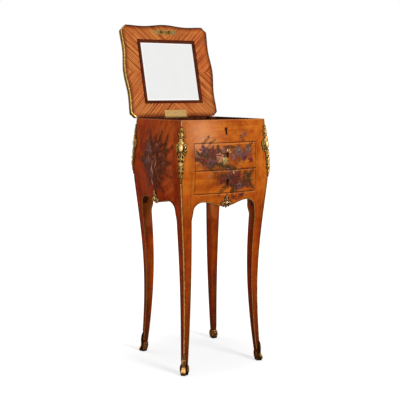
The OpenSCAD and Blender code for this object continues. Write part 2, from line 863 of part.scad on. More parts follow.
// Profile of the lid's moulding: outward share of its thickness and height
// share of the lid
MOULDING_PROFILE = [[0, 0], [0.75, 0], [1, 0.14], [0.6, 0.3], [0.95, 0.5], [1, 0.72], [0.55, 1], [0, 1]];
function moulding_section(i) = [
    for (q = MOULDING_PROFILE)
        let (p = lid_edge[i] + edge_normal(lid_edge, i) * (q[0] * moulding_thick + seat / 2))
        [p[0], p[1], lid_foot + q[1] * lid_thick]
];
module lid_moulding() {
    color(GILT) open_lid() loft([for (i = [len(lid_edge) - 1:-1:0]) moulding_section(i)]);
}

// The mirror's place in the lid, grown under the frame by extra
glass_half = frame_half - frame_side;
frame_far = frame_near + frame_length;
module mirror_space(extra, depth) {
    half = glass_half + extra;
    block(
        [-half, hinge_y - frame_far + frame_side - extra, lid_foot - PAST],
        [half, hinge_y - frame_near - frame_side + extra, lid_foot + depth]
    );
}
FRAME_PROFILE = [[0, 0], [0, 0.55], [0.25, 1], [0.6, 0.9], [1, 0.45], [1, 0]];
// The four corners of the glass as seen in its frame, drawn in by d
function glass_corners(d) =
    let (
        half = glass_half - d,
        far = hinge_y - frame_far + frame_side + d,
        near = hinge_y - frame_near - frame_side - d
    )
    [[-half, far], [half, far], [half, near], [-half, near]];
module mirror_frame() {
    m = len(FRAME_PROFILE);
    color(CASE_WOOD) open_lid() polyhedron(
        points = [for (i = [0:3], q = FRAME_PROFILE)
            let (p = glass_corners((q[0] - 1) * frame_side)[i]) [p[0], p[1], lid_foot - q[1] * frame_proud]],
        faces = [for (i = [0:3], j = [0:m - 1])
            let (a = i * m, b = (i + 1) % 4 * m, k = (j + 1) % m)
            each quad(a + j, a + k, b + k, b + j)]
    );
}
module mirror_glass() {
    low = glass_corners(-glass_rebate)[0];
    high = glass_corners(-glass_rebate)[2];
    color("lightsteelblue") open_lid() union() {
        block([low[0], low[1], lid_foot], [high[0], high[1], lid_foot + glass_thick]);
        loft([
            [for (p = glass_corners(bevel_width)) [p[0], p[1], lid_foot - bevel_depth]],
            [for (p = glass_corners(seat)) [p[0], p[1], lid_foot]],
            [for (p = glass_corners(seat)) [p[0], p[1], lid_foot + glass_thick / 2]]
        ]);
    }
}
module mirror_backing() {
    half = glass_half + glass_rebate;
    color(LINING) open_lid() block(
        [-half, hinge_y - frame_far + frame_side - glass_rebate, lid_foot + glass_thick],
        [half, hinge_y - frame_near - frame_side + glass_rebate, lid_foot + glass_thick + backing_thick]
    );
}

module catch_plate() {
    w = staple_width / 2;
    t = staple_thick;
    color(GILT) open_lid() union() {
        block(
            [-catch_width / 2, catch_y - catch_depth / 2, lid_foot],
            [catch_width / 2, catch_y + catch_depth / 2, lid_foot + catch_thick]
        );
        for (x = [-staple_half, staple_half]) translate([x, catch_y, lid_foot]) difference() {
            block([-t / 2, -w, -staple_drop], [t / 2, w, t / 2]);
            block([-t, t - w, -eye_drop], [t, w - t, 0]);
        }
    }
}

// The hinge: the lid's leaf has the middle knuckle and the case's leaf the
// two outer ones
knuckle_run = leaf_width / 3;
knuckle_gap = 0.2;
module knuckle(x0, x1) {
    translate([x0, hinge_y, hinge_z]) rotate([0, 90, 0]) cylinder(r = knuckle_r, h = x1 - x0);
}
module hinge_bore() {
    translate([-leaf_width, hinge_y, hinge_z]) rotate([0, 90, 0])
    cylinder(r = hinge_pin_r + pin_clearance, h = 2 * leaf_width);
}
module lid_hinge_leaf() {
    half = knuckle_run / 2 - knuckle_gap / 2;
    color(GILT) open_lid() difference() {
        union() {
            block(
                [-leaf_width / 2, hinge_y - lid_leaf_length - leaf_setback, lid_foot],
                [leaf_width / 2, leaf_root, lid_foot + leaf_thick]
            );
            block([-half, leaf_root - PAST, lid_foot], [half, hinge_y, lid_foot + leaf_thick]);
            knuckle(-half, half);
        }
        hinge_bore();
    }
}
module case_hinge_leaf() {
    color(GILT) difference() {
        union() {
            block(
                [-leaf_width / 2, leaf_root - case_leaf_length, rim_height - leaf_thick],
                [leaf_width / 2, leaf_root, rim_height]
            );
            for (side = [0, 1]) mirror([side, 0, 0]) {
                inner = knuckle_run / 2 + knuckle_gap / 2;
                block(
                    [inner, leaf_root - PAST, rim_height - leaf_thick],
                    [leaf_width / 2, hinge_y, rim_height]
                );
                knuckle(inner, leaf_width / 2);
            }
        }
        hinge_bore();
    }
}
// The pin, with a head at each end that stands clear of the knuckles
HEAD_GAP = 0.1;
HEAD_LENGTH = 0.9;
HEAD_SHARE = 0.77;
module hinge_pin() {
    start = -leaf_width / 2 - HEAD_GAP - HEAD_LENGTH;
    color(IRON) translate([0, hinge_y, hinge_z]) rotate([0, 90, 0]) union() {
        translate([0, 0, start]) cylinder(r = hinge_pin_r, h = -2 * start);
        for (x = [start, leaf_width / 2 + HEAD_GAP])
            translate([0, 0, x]) cylinder(r = knuckle_r * HEAD_SHARE, h = HEAD_LENGTH);
    }
}

// Corner mounts. Each lobe is given by the share of the mount's length where
// its middle lies and by its shares of the length, the width and the relief
CHUTE_LOBES = [
    [0.06, 0.08, 0.38, 0.6], [0.19, 0.13, 0.48, 0.75], [0.41, 0.13, 1, 1], [0.57, 0.12, 0.62, 0.85],
    [0.72, 0.1, 0.5, 0.95], [0.85, 0.09, 0.4, 0.6], [0.955, 0.05, 0.28, 0.3]
];
LOBE_WIDTH = 2;
LOBE_RISE = 3;
CHUTE_ROWS = 26;
CHUTE_ACROSS = [1, 0.7, 0.35, 0];
LEAF_STEM = 0.27;
CANT_LIP = 1.5;
MOUNT_EDGE = 0.9;
LEAST_RELIEF = 0.33;
chute_head = rim_height - chute_start;
chute_foot = chute_head - chute_length;
function lobe_at(l, t, kind) = let (d = (t - l[0]) / l[1]) abs(d) < 1 ? l[kind] * sqrt(1 - d * d) : 0;
function lobes_at(lobes, t, kind) = max([for (l = lobes) max(LEAF_STEM, lobe_at(l, t, kind))]);

// A point of corner k's surface at share r of the width w from the strip,
// on the side of the front face (s = 1) or of the other face (s = -1),
// raised by h
function corner_point(k, s, w, r, z, h) =
    let (
        out = corner_out(z),
        u = out - corner_cant - (w - corner_cant) * r,
        f = s > 0 ? k : (k + 1) % 4,
        v = face_out(f, u, z),
        a = 45 * (1 - r),
        du = h * sin(a),
        dv = h * cos(a)
    )
    s > 0 ? [u + du, -v - dv, z] : [v + dv, -u - du, z];
// Height of a mount at share r of its half width, where its lobes rise to
// this share of the full relief
function lobe_height(relief, rise, r) = MOUNT_EDGE + relief * mix(LEAST_RELIEF, 1, rise) * sqrt(1 - r * r);
function chute_row(k, t, lift) =
    let (
        z = mix(chute_head, chute_foot, t),
        w = max(corner_cant + CANT_LIP, chute_half * lobes_at(CHUTE_LOBES, t, LOBE_WIDTH)),
        rise = lobes_at(CHUTE_LOBES, t, LOBE_RISE),
        side = [for (r = CHUTE_ACROSS) [r, seat + lift * lobe_height(chute_relief, rise, r)]]
    )
    concat(
        [for (q = side) corner_point(k, 1, w, q[0], z, q[1])],
        [for (i = [len(side) - 1:-1:0]) corner_point(k, -1, w, side[i][0], z, side[i][1])]
    );
module chute(k) {
    color(GILT) place(k) relief(
        [for (i = [CHUTE_ROWS:-1:0]) chute_row(k, i / CHUTE_ROWS, 1)],
        [for (i = [CHUTE_ROWS:-1:0]) chute_row(k, i / CHUTE_ROWS, 0)]
    );
}

// Strips down the corner, above and below its mount
STRIP_PROFILE = [[-0.5, 0], [0.5, 0], [0.36, 0.8], [0, 1], [-0.36, 0.8]];
function strip_section(z) =
    let (out = corner_out(z), d = out - corner_cant / 2 + seat)
    [for (q = STRIP_PROFILE)
        let (across = q[0] * strip_width / sqrt(2), up = d + q[1] * strip_relief / sqrt(2))
        [up + across, across - up, z]];
STRIP_END = 0.5;
MOUNT_JOINT = 1;
strip_stop = chute_foot - MOUNT_JOINT;
low_strip = concat(
    [sabot_leaf + MOUNT_JOINT],
    [for (z = leg_levels) if (z > sabot_leaf + MOUNT_JOINT && z < strip_stop) z],
    [strip_stop]
);
high_strip = [chute_head + MOUNT_JOINT, rim_height - STRIP_END];
module strip(k) {
    color(GILT) place(k) for (levels = [low_strip, high_strip])
    loft([for (z = levels) strip_section(z)]);
}

// Beads up the inner edges of the legs and along the apron of face f, from
// above the shoes' inner rims, each half ending at the mount
BEAD_LIFT = 9;
bead_start = sabot_height + BEAD_LIFT;
function bead_line(f) = concat(
    [[leg_inner(bead_start), bead_start]],
    [for (z = leg_levels) if (z > bead_start + MOUNT_JOINT && z < arc_z) [leg_inner(z), z]],
    apron_edge(f)
);
BEAD_PROFILE = [[0.5, 0], [0.36, 0.8], [0, 1], [-0.36, 0.8], [-0.5, 0]];
function path_left(path, i) =
    let (n = len(path) - 1)
    unit(left_of(unit(path[min(n, i + 1)] - path[i == n ? n - 1 : max(0, i - 1)])));
module bead(f, stop) {
    path = [for (p = bead_line(f)) if (p[0] >= stop) p];
    color(GILT) place(f) for (side = [0, 1]) mirror([side, 0, 0])
    loft([for (i = [0:len(path) - 1]) let (n = path_left(path, i)) [for (q = BEAD_PROFILE)
        let (p = path[i] + n * bead_width * (q[0] - 0.5))
        [p[0], -face_out(f, p[0], p[1]) - seat - q[1] * bead_relief, p[1]]]]);
}

// Apron mounts: a spray over a wide scroll
MOUNT_LOBES = [[0.18, 0.18, 1, 1], [0.42, 0.18, 0.72, 0.8], [0.68, 0.2, 0.56, 0.7], [0.9, 0.12, 0.36, 0.5]];
MOUNT_ROWS = 12;
MOUNT_ACROSS = 6;
function mount_row(f, t, lift) =
    let (
        z = shoulder_z - drops[f] - mount_hang + mount_height * t,
        w = mount_half * lobes_at(MOUNT_LOBES, t, LOBE_WIDTH),
        rise = lobes_at(MOUNT_LOBES, t, LOBE_RISE)
    )
    [for (i = [0:MOUNT_ACROSS]) let (r = 2 * i / MOUNT_ACROSS - 1, u = r * w)
        [u, -face_out(f, u, z) - seat - lift * lobe_height(mount_relief, rise, r), z]];
module apron_mount(f) {
    color(GILT) place(f) relief(
        [for (i = [0:MOUNT_ROWS]) mount_row(f, i / MOUNT_ROWS, 1)],
        [for (i = [0:MOUNT_ROWS]) mount_row(f, i / MOUNT_ROWS, 0)]
    );
}

// Cast shoes: a hollow foot with a kicked toe and a leaf up the corner
SABOT_ROWS = 8;
SABOT_INNER_ROWS = 3;
LEAF_TURN = 1.5;
KICK_TURN = 3;
FOOT_WALL = 1.15;
LIP_WALL = 0.8;
// Share of the way from the inner corner (0) to the toe (1) at point j
function toe_share(j) =
    let (steps = abs(j - (SECTION_POINTS - 1) / 2) - 0.5)
    pow(min(1, max(0, 1 - steps / FACE_STEPS)), LEAF_TURN);
function sabot_top(j) = mix(sabot_height, sabot_leaf, toe_share(j));
function sabot_grow(t, j) =
    sabot_wall * mix(FOOT_WALL, LIP_WALL, t)
    + toe_share(j) * (toe_kick * pow(1 - t, KICK_TURN) + leaf_swell * sin(180 * t));
module sabot(k) {
    m = SECTION_POINTS;
    outer = [for (i = [0:SABOT_ROWS], j = [0:m - 1])
        let (t = i / SABOT_ROWS, z = t * sabot_top(j), p = leg_section(k, z, sabot_grow(t, j))[j])
        [p[0], p[1], z]];
    inner = [for (i = [0:SABOT_INNER_ROWS], j = [0:m - 1])
        let (z = mix(sole_thick, sabot_top(j), i / SABOT_INNER_ROWS), p = leg_section(k, z, seat)[j])
        [p[0], p[1], z]];
    s = len(outer);
    top = SABOT_ROWS * m;
    rim = s + SABOT_INNER_ROWS * m;
    color(GILT) place(k) polyhedron(
        points = concat(outer, inner),
        faces = concat(
            ring_skin(0, SABOT_ROWS + 1, m),
            ring_skin(s, SABOT_INNER_ROWS + 1, m, true),
            [[for (j = [0:m - 1]) j]],
            [[for (j = [0:m - 1]) s + m - 1 - j]],
            [for (j = [0:m - 1]) let (q = (j + 1) % m) each quad(top + q, top + j, rim + j, rim + q)]
        )
    );
}

leg(0);  // leg_front_right
leg(1);  // leg_back_right
leg(2);  // leg_back_left
leg(3);  // leg_front_left
frieze_rail();
front_apron();
right_side();
back_panel();
left_side();
well_floor();
drawer_rail();
bottom_board();
upper_runners();
lower_runners();
upper_drawer_front();
upper_drawer_left();
upper_drawer_right();
upper_drawer_back();
upper_drawer_bottom();
upper_lock();
upper_bolt();
lower_drawer_front();
lower_drawer_left();
lower_drawer_right();
lower_drawer_back();
lower_drawer_bottom();
lower_lock();
lower_bolt();
lid_lock();
lid_bolt();
lid_board();
lid_moulding();
mirror_frame();
mirror_glass();
mirror_backing();
catch_plate();
lid_hinge_leaf();
case_hinge_leaf();
hinge_pin();
bead(0, mount_half + seat);  // bead_front
bead(1, mount_half + seat);  // bead_right
bead(2, 0);  // bead_back
bead(3, mount_half + seat);  // bead_left
apron_mount(0);  // mount_front
apron_mount(1);  // mount_right
apron_mount(3);  // mount_left
chute(0);  // chute_front_right
chute(1);  // chute_back_right
chute(2);  // chute_back_left
chute(3);  // chute_front_left
strip(0);  // strip_front_right
strip(1);  // strip_back_right
strip(2);  // strip_back_left
strip(3);  // strip_front_left
sabot(0);  // sabot_front_right
sabot(1);  // sabot_back_right
sabot(2);  // sabot_back_left
sabot(3);  // sabot_front_left
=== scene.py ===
import json
import math
from collections import namedtuple

import bpy
import numpy as np
from bpy.props import FloatProperty, FloatVectorProperty, IntProperty, PointerProperty
from mathutils import Matrix, Vector


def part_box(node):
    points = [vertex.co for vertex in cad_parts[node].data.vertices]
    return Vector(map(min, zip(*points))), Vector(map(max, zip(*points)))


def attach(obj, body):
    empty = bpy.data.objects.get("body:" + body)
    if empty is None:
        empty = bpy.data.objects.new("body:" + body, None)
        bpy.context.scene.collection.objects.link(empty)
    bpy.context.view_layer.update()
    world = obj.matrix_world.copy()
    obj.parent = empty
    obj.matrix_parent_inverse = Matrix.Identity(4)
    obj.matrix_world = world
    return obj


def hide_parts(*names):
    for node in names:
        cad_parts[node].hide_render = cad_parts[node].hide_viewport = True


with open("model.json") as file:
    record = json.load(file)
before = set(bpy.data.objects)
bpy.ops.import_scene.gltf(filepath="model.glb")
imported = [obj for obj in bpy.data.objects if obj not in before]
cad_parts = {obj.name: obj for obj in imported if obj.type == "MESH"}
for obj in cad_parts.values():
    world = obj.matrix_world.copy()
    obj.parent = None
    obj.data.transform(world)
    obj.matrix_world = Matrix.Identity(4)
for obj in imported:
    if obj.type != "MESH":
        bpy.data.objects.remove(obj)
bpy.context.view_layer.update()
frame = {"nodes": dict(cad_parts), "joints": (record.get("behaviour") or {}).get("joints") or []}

bl_info = {
    "name": "Mirror-lid side table",
    "version": (1, 0, 0),
    "blender": (4, 5, 0),
    "location": "View3D > Sidebar > Side Table",
    "description": "Veneers, painted sprays and gilt mounts of a small table with a mirror in its lid",
    "category": "Object",
}

MM = 0.001

# Levels read from the case, in metres
RIM_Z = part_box("frieze_rail")[1].z
FRIEZE_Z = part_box("frieze_rail")[0].z
APRON_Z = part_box("front_apron")[1].z
OPENING_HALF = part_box("frieze_rail")[1].x
SOLE_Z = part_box("leg_front_left")[0].z
CORNERS = ("front_right", "back_right", "back_left", "front_left")
FRONT, RIGHT, BACK, LEFT = range(4)

# Shares that shape the long curve of the corners, and the half widths of the cant over which
# a mount bends from it onto the faces
RIM_TURN = 1.3
KNEE_TURN = 1.2
TOE_TURN = 2
RIM_FLAT = 0.38
SWELL_FADE = 3
CANT_BEND = 5


def linear(red, green, blue):
    """A colour picked on a screen, from 0 to 255, as linear light."""
    return tuple(
        (c / 255 / 12.92) if c <= 10 else ((c / 255 + 0.055) / 1.055) ** 2.4
        for c in (red, green, blue)
    )


def size(name, default, text):
    return FloatProperty(name=name, description=text, default=default, unit="LENGTH", precision=4)


def tint(name, default, text):
    return FloatVectorProperty(
        name=name, description=text, default=linear(*default), size=3, subtype="COLOR", min=0, max=1
    )


def amount(name, default, text):
    return FloatProperty(name=name, description=text, default=default, min=0, subtype="FACTOR", soft_max=1)


class CaseShape(bpy.types.PropertyGroup):
    """Sizes of the curves that the case and its legs follow."""

    rim_half: size("Rim half width", 0.137, "Half the width of the case at its rim")
    belly_half: size("Belly half width", 0.148, "Half the width of the case at its belly")
    belly_drop: size("Belly drop", 0.14, "Drop from the rim to the widest part of the belly")
    front_crown: size("Front crown", 0.0105, "How far the middle of the front stands out")
    side_crown: size("Side crown", 0.007, "How far the middle of each side stands out")
    front_dip: size("Front dip", 0.0015, "Depth of the hollows beside the middle of the front")
    side_dip: size("Side dip", 0.0012, "Depth of the hollows beside the middle of each side")
    waist_half: size("Waist half width", 0.1255, "Half the spread of the legs at their waist")
    waist_height: size("Waist height", 0.225, "Height of the legs' waist")
    toe_half: size("Toe half width", 0.1345, "Half the spread of the legs at the floor")
    knee_side: size("Knee side", 0.0305, "Side of the leg under the apron")
    ankle_side: size("Ankle side", 0.0128, "Side of the leg at the floor")
    corner_cant: size("Corner cant", 0.0028, "Width taken off each face at the outer corner")
    apron_depth: size("Apron depth", 0.024, "Depth of the apron at its shoulders")
    shoulder_half: size("Shoulder", 0.072, "Distance of each shoulder from the middle of the face")
    apron_drop: size("Apron drop", 0.016, "How far the middle of the front apron hangs down")
    side_drop: size("Side drop", 0.01, "How far the middle of each other apron hangs down")
    arc_rise: size("Arc rise", 0.025, "Height of the rounded corner of the apron")
    arc_fade: size("Arc fade", 0.027, "Height over which the corner fades into the leg")
    veneer: size("Veneer", 0.0003, "Thickness of the veneer over the carcass")


class LidShape(bpy.types.PropertyGroup):
    """Sizes of the lid, its mirror and its fittings."""

    half: size("Half width", 0.148, "Half the width of the lid's board")
    thick: size("Thickness", 0.018, "Thickness of the lid")
    corner_cut: size("Corner cut", 0.0138, "Length cut off each side at the corners")
    crown: size("Crown", 0.004, "How far the middle of each edge stands out")
    dip: size("Dip", 0.004, "Depth of the hollows along the edges")
    moulding: size("Moulding", 0.0035, "Thickness of the brass moulding")
    frame_half: size("Frame half width", 0.101, "Half the width of the mirror frame")
    frame_near: size("Frame start", 0.044, "Distance from the hinge to the mirror frame")
    frame_length: size("Frame length", 0.202, "Length of the mirror frame")
    frame_side: size("Frame side", 0.009, "Width of the frame's sides")
    frame_proud: size("Frame height", 0.005, "How far the frame stands out")
    bevel: size("Bevel", 0.0045, "Width of the bevel round the glass")
    bevel_depth: size("Bevel depth", 0.0009, "Depth of the bevel")


class MountShape(bpy.types.PropertyGroup):
    """Sizes of the gilt mounts."""

    chute_start: size("Corner mount start", 0.017, "Distance from the rim to the corner mounts")
    chute_length: size("Corner mount length", 0.155, "Length of the corner mounts")
    chute_relief: amount("Corner mount relief", 1.0, "Share of the full relief of the corner mounts")
    spray_height: size("Apron mount height", 0.043, "Height of the apron mounts")
    spray_hang: size("Apron mount hang", 0.004, "How far the apron mounts hang below the edge")
    bead_width: size("Bead width", 0.003, "Width of the beads")
    bead_relief: size("Bead relief", 0.0016, "How far the beads stand out")
    strip_width: size("Strip width", 0.0046, "Width of the corner strips")
    strip_relief: size("Strip relief", 0.002, "How far the corner strips stand out")
    shoe_leaf: size("Shoe leaf", 0.062, "Height of the leaf at the corner of each shoe")
    shoe_height: size("Shoe height", 0.029, "Height of each shoe at its inner corner")


class Finishes(bpy.types.PropertyGroup):
    """Colours of the woods, the metals and the paint."""

    satin_light: tint("Satinwood light", (204, 112, 28), "Light figure of the front veneer")
    satin_dark: tint("Satinwood dark", (146, 58, 8), "Dark figure of the front veneer")
    side_light: tint("Side light", (214, 92, 34), "Light figure of the side veneer")
    side_dark: tint("Side dark", (146, 50, 16), "Dark figure of the side veneer")
    leg_light: tint("Leg light", (172, 72, 6), "Light figure of the legs' veneer")
    leg_dark: tint("Leg dark", (118, 34, 1), "Dark figure of the legs' veneer")
    low_light: tint("Low light", (196, 72, 22), "Light figure low on the sides")
    low_dark: tint("Low dark", (126, 34, 10), "Dark figure low on the sides")
    stripe_light: tint("Stripe light", (236, 146, 76), "Light stripes of the lid")
    stripe_dark: tint("Stripe dark", (140, 58, 20), "Dark stripes of the lid")
    case_wood: tint("Case wood", (84, 38, 18), "Wood inside the case")
    lining: tint("Lining", (176, 138, 90), "Wood of the drawer linings")
    moulding_wood: tint("Frame wood", (100, 44, 25), "Wood of the mirror frame")
    gilt: tint("Gilt", (220, 186, 130), "Rubbed gilding")
    gilt_dull: tint("Dull gilt", (142, 107, 50), "Dull gilding in the hollows")
    edge: tint("Edge brass", (244, 210, 134), "Brass edge of the lid")
    # Dark colour of painted shade: the brass edge's inner faces and the strips over the lid's back edge
    lip: tint("Edge lip", (74, 36, 16), "Dark lip inside the lid's brass edge")
    strip: tint("Strip gilt", (184, 134, 76), "Rubbed gilding of the strips and beads")
    strip_dull: tint("Dull strip gilt", (76, 44, 18), "Dull gilding of the strips and beads")
    bronze: tint("Bronze", (206, 156, 92), "Rubbed bronze of the shoes")
    bronze_dull: tint("Dull bronze", (76, 46, 22), "Dark bronze of the shoes")
    brass: tint("Brass", (168, 136, 84), "Brass of the hinge and plates")
    steel: tint("Steel", (120, 116, 110), "Steel of the locks and screws")
    paint_grain: FloatProperty(
        name="Paint grid", description="Spacing of the painted surface's points", default=0.001,
        unit="LENGTH", precision=4, min=0.0005,
    )
    seed: IntProperty(name="Seed", description="Seed of the brush strokes", default=7)


def power(name, default, text):
    return FloatProperty(name=name, description=text, default=default, unit="POWER")


def angle(name, degrees, text):
    return FloatProperty(name=name, description=text, default=math.radians(degrees), unit="ROTATION")


class StageLevels(bpy.types.PropertyGroup):
    """Light and camera."""

    fill: FloatProperty(name="Fill", description="Strength of the light from all round", default=0.36)
    key: power("Key", 57.0, "Power of the large lamp")
    side: power("Side", 5.0, "Power of the lamp at the left")
    rim: power("Rim", 9.0, "Power of the lamp behind")
    azimuth: angle("Azimuth", -30.63, "Direction of the camera")
    pitch: angle("Pitch", 7.62, "Downward tilt of the camera")
    roll: angle("Roll", -0.17, "Roll of the camera")
    distance: size("Distance", 2.4089, "Distance from the camera to its target")
    target_x: size("Target X", 0.0018, "Sideways place of the camera's target")
    target_z: size("Target height", 0.4809, "Height of the camera's target")
    lens: FloatProperty(name="Lens", description="Focal length", default=72.28, unit="CAMERA")


def mix(a, b, t):
    return a + (b - a) * t


def between(tone, other, share):
    """The tone that lies a share of the way from one tone to another."""
    return tuple(mix(a, b, share) for a, b in zip(tone, other))


def scaled(tone, share):
    return tuple(c * share for c in tone)


def ease(t):
    return (1 - np.cos(np.pi * t)) / 2


class Case:
    """The curved faces and corners of the case and its legs."""

    def __init__(self, shape):
        self.shape = shape
        self.crowns = (shape.front_crown, shape.side_crown, 0, shape.side_crown)
        self.dips = (shape.front_dip, shape.side_dip, 0, shape.side_dip)
        self.drops = (shape.apron_drop, shape.side_drop, shape.side_drop, shape.side_drop)
        self.belly_z = RIM_Z - shape.belly_drop
        self.shoulder_z = APRON_Z - shape.apron_depth
        self.arc_z = self.shoulder_z - shape.arc_rise
        self.spring_z = self.arc_z - shape.arc_fade

    def corner_out(self, z):
        """Distance of the corners from each centre plane at height z."""
        s = self.shape
        up = np.clip((z - self.belly_z) / s.belly_drop, 0, None)
        down = np.clip((self.belly_z - z) / (self.belly_z - s.waist_height), 0, 1)
        foot = np.clip((s.waist_height - z) / s.waist_height, 0, None)
        low = np.where(
            z > s.waist_height,
            mix(s.belly_half, s.waist_half, np.sin(np.pi / 2 * down) ** KNEE_TURN),
            mix(s.waist_half, s.toe_half, foot**TOE_TURN),
        )
        return np.where(z > self.belly_z, mix(s.belly_half, s.rim_half, up**RIM_TURN), low)

    def swell(self, z):
        """Share of the faces' swell that is left at height z."""
        up = np.clip((z - self.belly_z) / self.shape.belly_drop, 0, None)
        down = np.clip((self.belly_z - z) / (self.belly_z - self.spring_z), 0, 1)
        return np.where(z > self.belly_z, 1 - RIM_FLAT * up**2, 1 - down**SWELL_FADE)

    def face_out(self, face, u, z):
        """Distance of a face from the centre line, at u along it and height z."""
        out = self.corner_out(z)
        r = np.minimum(1, np.abs(u) / out)
        wave = self.crowns[face] * np.cos(np.pi / 2 * r) ** 2 - self.dips[face] * np.sin(np.pi * r) ** 2
        return out + self.swell(z) * wave

    def leg_inner(self, z):
        """Distance of a leg's inner edge from the middle of its face."""
        s = self.shape
        side = mix(s.ankle_side, s.knee_side, z / self.spring_z)
        fade = ease(np.clip((z - self.spring_z) / s.arc_fade, 0, 1))
        spring = self.corner_out(np.float64(self.spring_z)) - s.knee_side
        low = np.where(z > self.spring_z, mix(spring, OPENING_HALF, fade), self.corner_out(z) - side)
        return np.where(z >= self.arc_z, OPENING_HALF, low)

    def apron_edge(self, face, u):
        """Height of a face's lower edge at u along it."""
        s = self.shape
        u = np.abs(u)
        run = OPENING_HALF - s.shoulder_half
        arc = np.sqrt(np.clip(1 - ((u - s.shoulder_half) / run) ** 2, 0, 1))
        wave = self.shoulder_z - self.drops[face] * (1 + np.cos(np.pi * u / s.shoulder_half)) / 2
        return np.where(u > s.shoulder_half, self.arc_z + s.arc_rise * arc, wave)

    def surface(self, face, u, z, lift=0.0):
        """Points of a face, raised by lift, turned to the face's side of the case."""
        u, z = np.broadcast_arrays(u, z)
        return turned(np.stack([u, -self.face_out(face, u, z) - lift, z], -1), face)

    def corner(self, corner, x, z, lift=0.0):
        """Points of a corner's skin. x runs from the middle of the cant round both faces."""
        cant = self.shape.corner_cant
        x, z, lift = np.broadcast_arrays(x, z, lift)
        half = cant / math.sqrt(2)
        out = self.corner_out(z)
        away = np.abs(x)
        u = out - cant - np.maximum(away - half, 0)
        front = x >= 0
        v = np.where(front, self.face_out(corner, u, z), self.face_out((corner + 1) % 4, u, z))
        on_cant = np.maximum(half - away, 0) / math.sqrt(2)
        lean = np.pi / 4 * np.clip(1 - (away - half) / (CANT_BEND * half), 0, 1)
        along = u + on_cant + lift * np.sin(lean)
        outward = v - on_cant + lift * np.cos(lean)
        px = np.where(front, along, outward)
        py = np.where(front, -outward, -along)
        return turned(np.stack([px, py, z], -1), corner)


def turned(points, quarter):
    """Points made for the front, or the front right corner, turned by quarters about Z."""
    x, y, z = points[..., 0], points[..., 1], points[..., 2]
    for _ in range(quarter):
        x, y = -y, x
    return np.stack([x, y, z], -1)


def joint(name):
    return next(j for j in frame["joints"] if j["name"] == name)


# Sizes that the lid's pieces share: half of the gap under it, its reach from the hinge and its
# middle, and the place of the catch
HALF_GAP = 0.3 * MM
LID_REACH = 292 * MM
LID_MIDDLE = 146 * MM
CATCH_REACH = 271.5 * MM

HINGE_Y, HINGE_Z = joint("lid_hinge")["pos_m"][1:]
LID_OPEN = math.radians(joint("lid_hinge")["range_deg"][1])
LID_FOOT = HINGE_Z + HALF_GAP
CATCH_Y = HINGE_Y - CATCH_REACH


def opened(points):
    """Points of the closed lid, turned to its open place."""
    y = points[..., 1] - HINGE_Y
    z = points[..., 2] - HINGE_Z
    c, s = math.cos(LID_OPEN), math.sin(LID_OPEN)
    return np.stack([points[..., 0], HINGE_Y + y * c + z * s, HINGE_Z - y * s + z * c], -1)


def thick_sheet(outer, inner, keep=None):
    """A closed sheet between two grids of points: its points, faces and each one's grid place."""
    rows, row = outer.shape[:2]
    count = rows * row
    spot = np.arange(count).reshape(rows, row)
    keep = np.ones((rows - 1, row - 1), bool) if keep is None else keep
    square = [spot[:-1, :-1][keep], spot[:-1, 1:][keep], spot[1:, 1:][keep], spot[1:, :-1][keep]]
    front = np.stack(square, 1)
    start = front.ravel()
    end = np.roll(front, -1, axis=1).ravel()
    rim = ~np.isin(start * count + end, end * count + start)
    s, e = start[rim], end[rim]
    wall = np.stack([e, s, s + count, e + count], 1)
    faces = np.concatenate([front, front[:, ::-1] + count, wall])
    used, faces = np.unique(faces, return_inverse=True)
    points = np.concatenate([outer.reshape(-1, 3), inner.reshape(-1, 3)])[used]
    return points, faces.reshape(-1, 4), used % count


def ring_faces(rows, row, first=0, inside=False):
    """Faces of the skin through closed rings, listed upwards and anticlockwise from above."""
    p = (np.arange(rows - 1)[:, None] * row + np.arange(row)[None] + first).ravel()
    q = (np.arange(rows - 1)[:, None] * row + (np.arange(row)[None] + 1) % row + first).ravel()
    quads = np.stack([p, q, q + row, p + row], 1)
    return quads[:, ::-1] if inside else quads


def loft(rings):
    """A closed solid through rings of points, from its foot to its head."""
    rows, row = rings.shape[:2]
    faces = ring_faces(rows, row).tolist()
    faces.append(list(range(row))[::-1])
    faces.append(list(range((rows - 1) * row, rows * row)))
    return rings.reshape(-1, 3), faces


def merged(parts):
    """Several solids as one list of points and faces."""
    points, faces, start = [], [], 0
    for some, quads in parts:
        points.append(some)
        faces += [[i + start for i in quad] for quad in np.asarray(quads, dtype=object)]
        start += len(some)
    return np.concatenate(points), faces


def new_mesh(name, points, faces, sharp=35.0):
    mesh = bpy.data.meshes.new(name)
    if isinstance(faces, np.ndarray):
        mesh.vertices.add(len(points))
        mesh.vertices.foreach_set("co", np.asarray(points, np.float32).ravel())
        mesh.loops.add(faces.size)
        mesh.loops.foreach_set("vertex_index", faces.astype(np.int32).ravel())
        mesh.polygons.add(len(faces))
        mesh.polygons.foreach_set("loop_start", np.arange(0, faces.size, faces.shape[1], dtype=np.int32))
        mesh.update(calc_edges=True)
    else:
        mesh.from_pydata(np.asarray(points).tolist(), [], [list(map(int, f)) for f in faces])
    if mesh.validate():
        raise RuntimeError(f"the mesh of {name} is not sound")
    mesh.shade_smooth()
    mesh.set_sharp_from_angle(angle=math.radians(sharp))
    return mesh


def put_vectors(mesh, name, values):
    held = mesh.attributes.new(name, "FLOAT_VECTOR", "POINT")
    held.data.foreach_set("vector", np.asarray(values, np.float32).ravel())


def put_rub_and_sheen(mesh, values):
    """Stores how far each point is rubbed bright, from 0 to 1; on the shoes, strips, beads and the lid's
    edge it also holds painted highlights and shade.
    """
    held = mesh.attributes.new("rub", "FLOAT", "POINT")
    held.data.foreach_set("value", np.asarray(values, np.float32).ravel())


def put_colours(mesh, name, values):
    held = mesh.color_attributes.new(name, "FLOAT_COLOR", "POINT")
    held.data.foreach_set("color", np.asarray(values, np.float32).ravel())


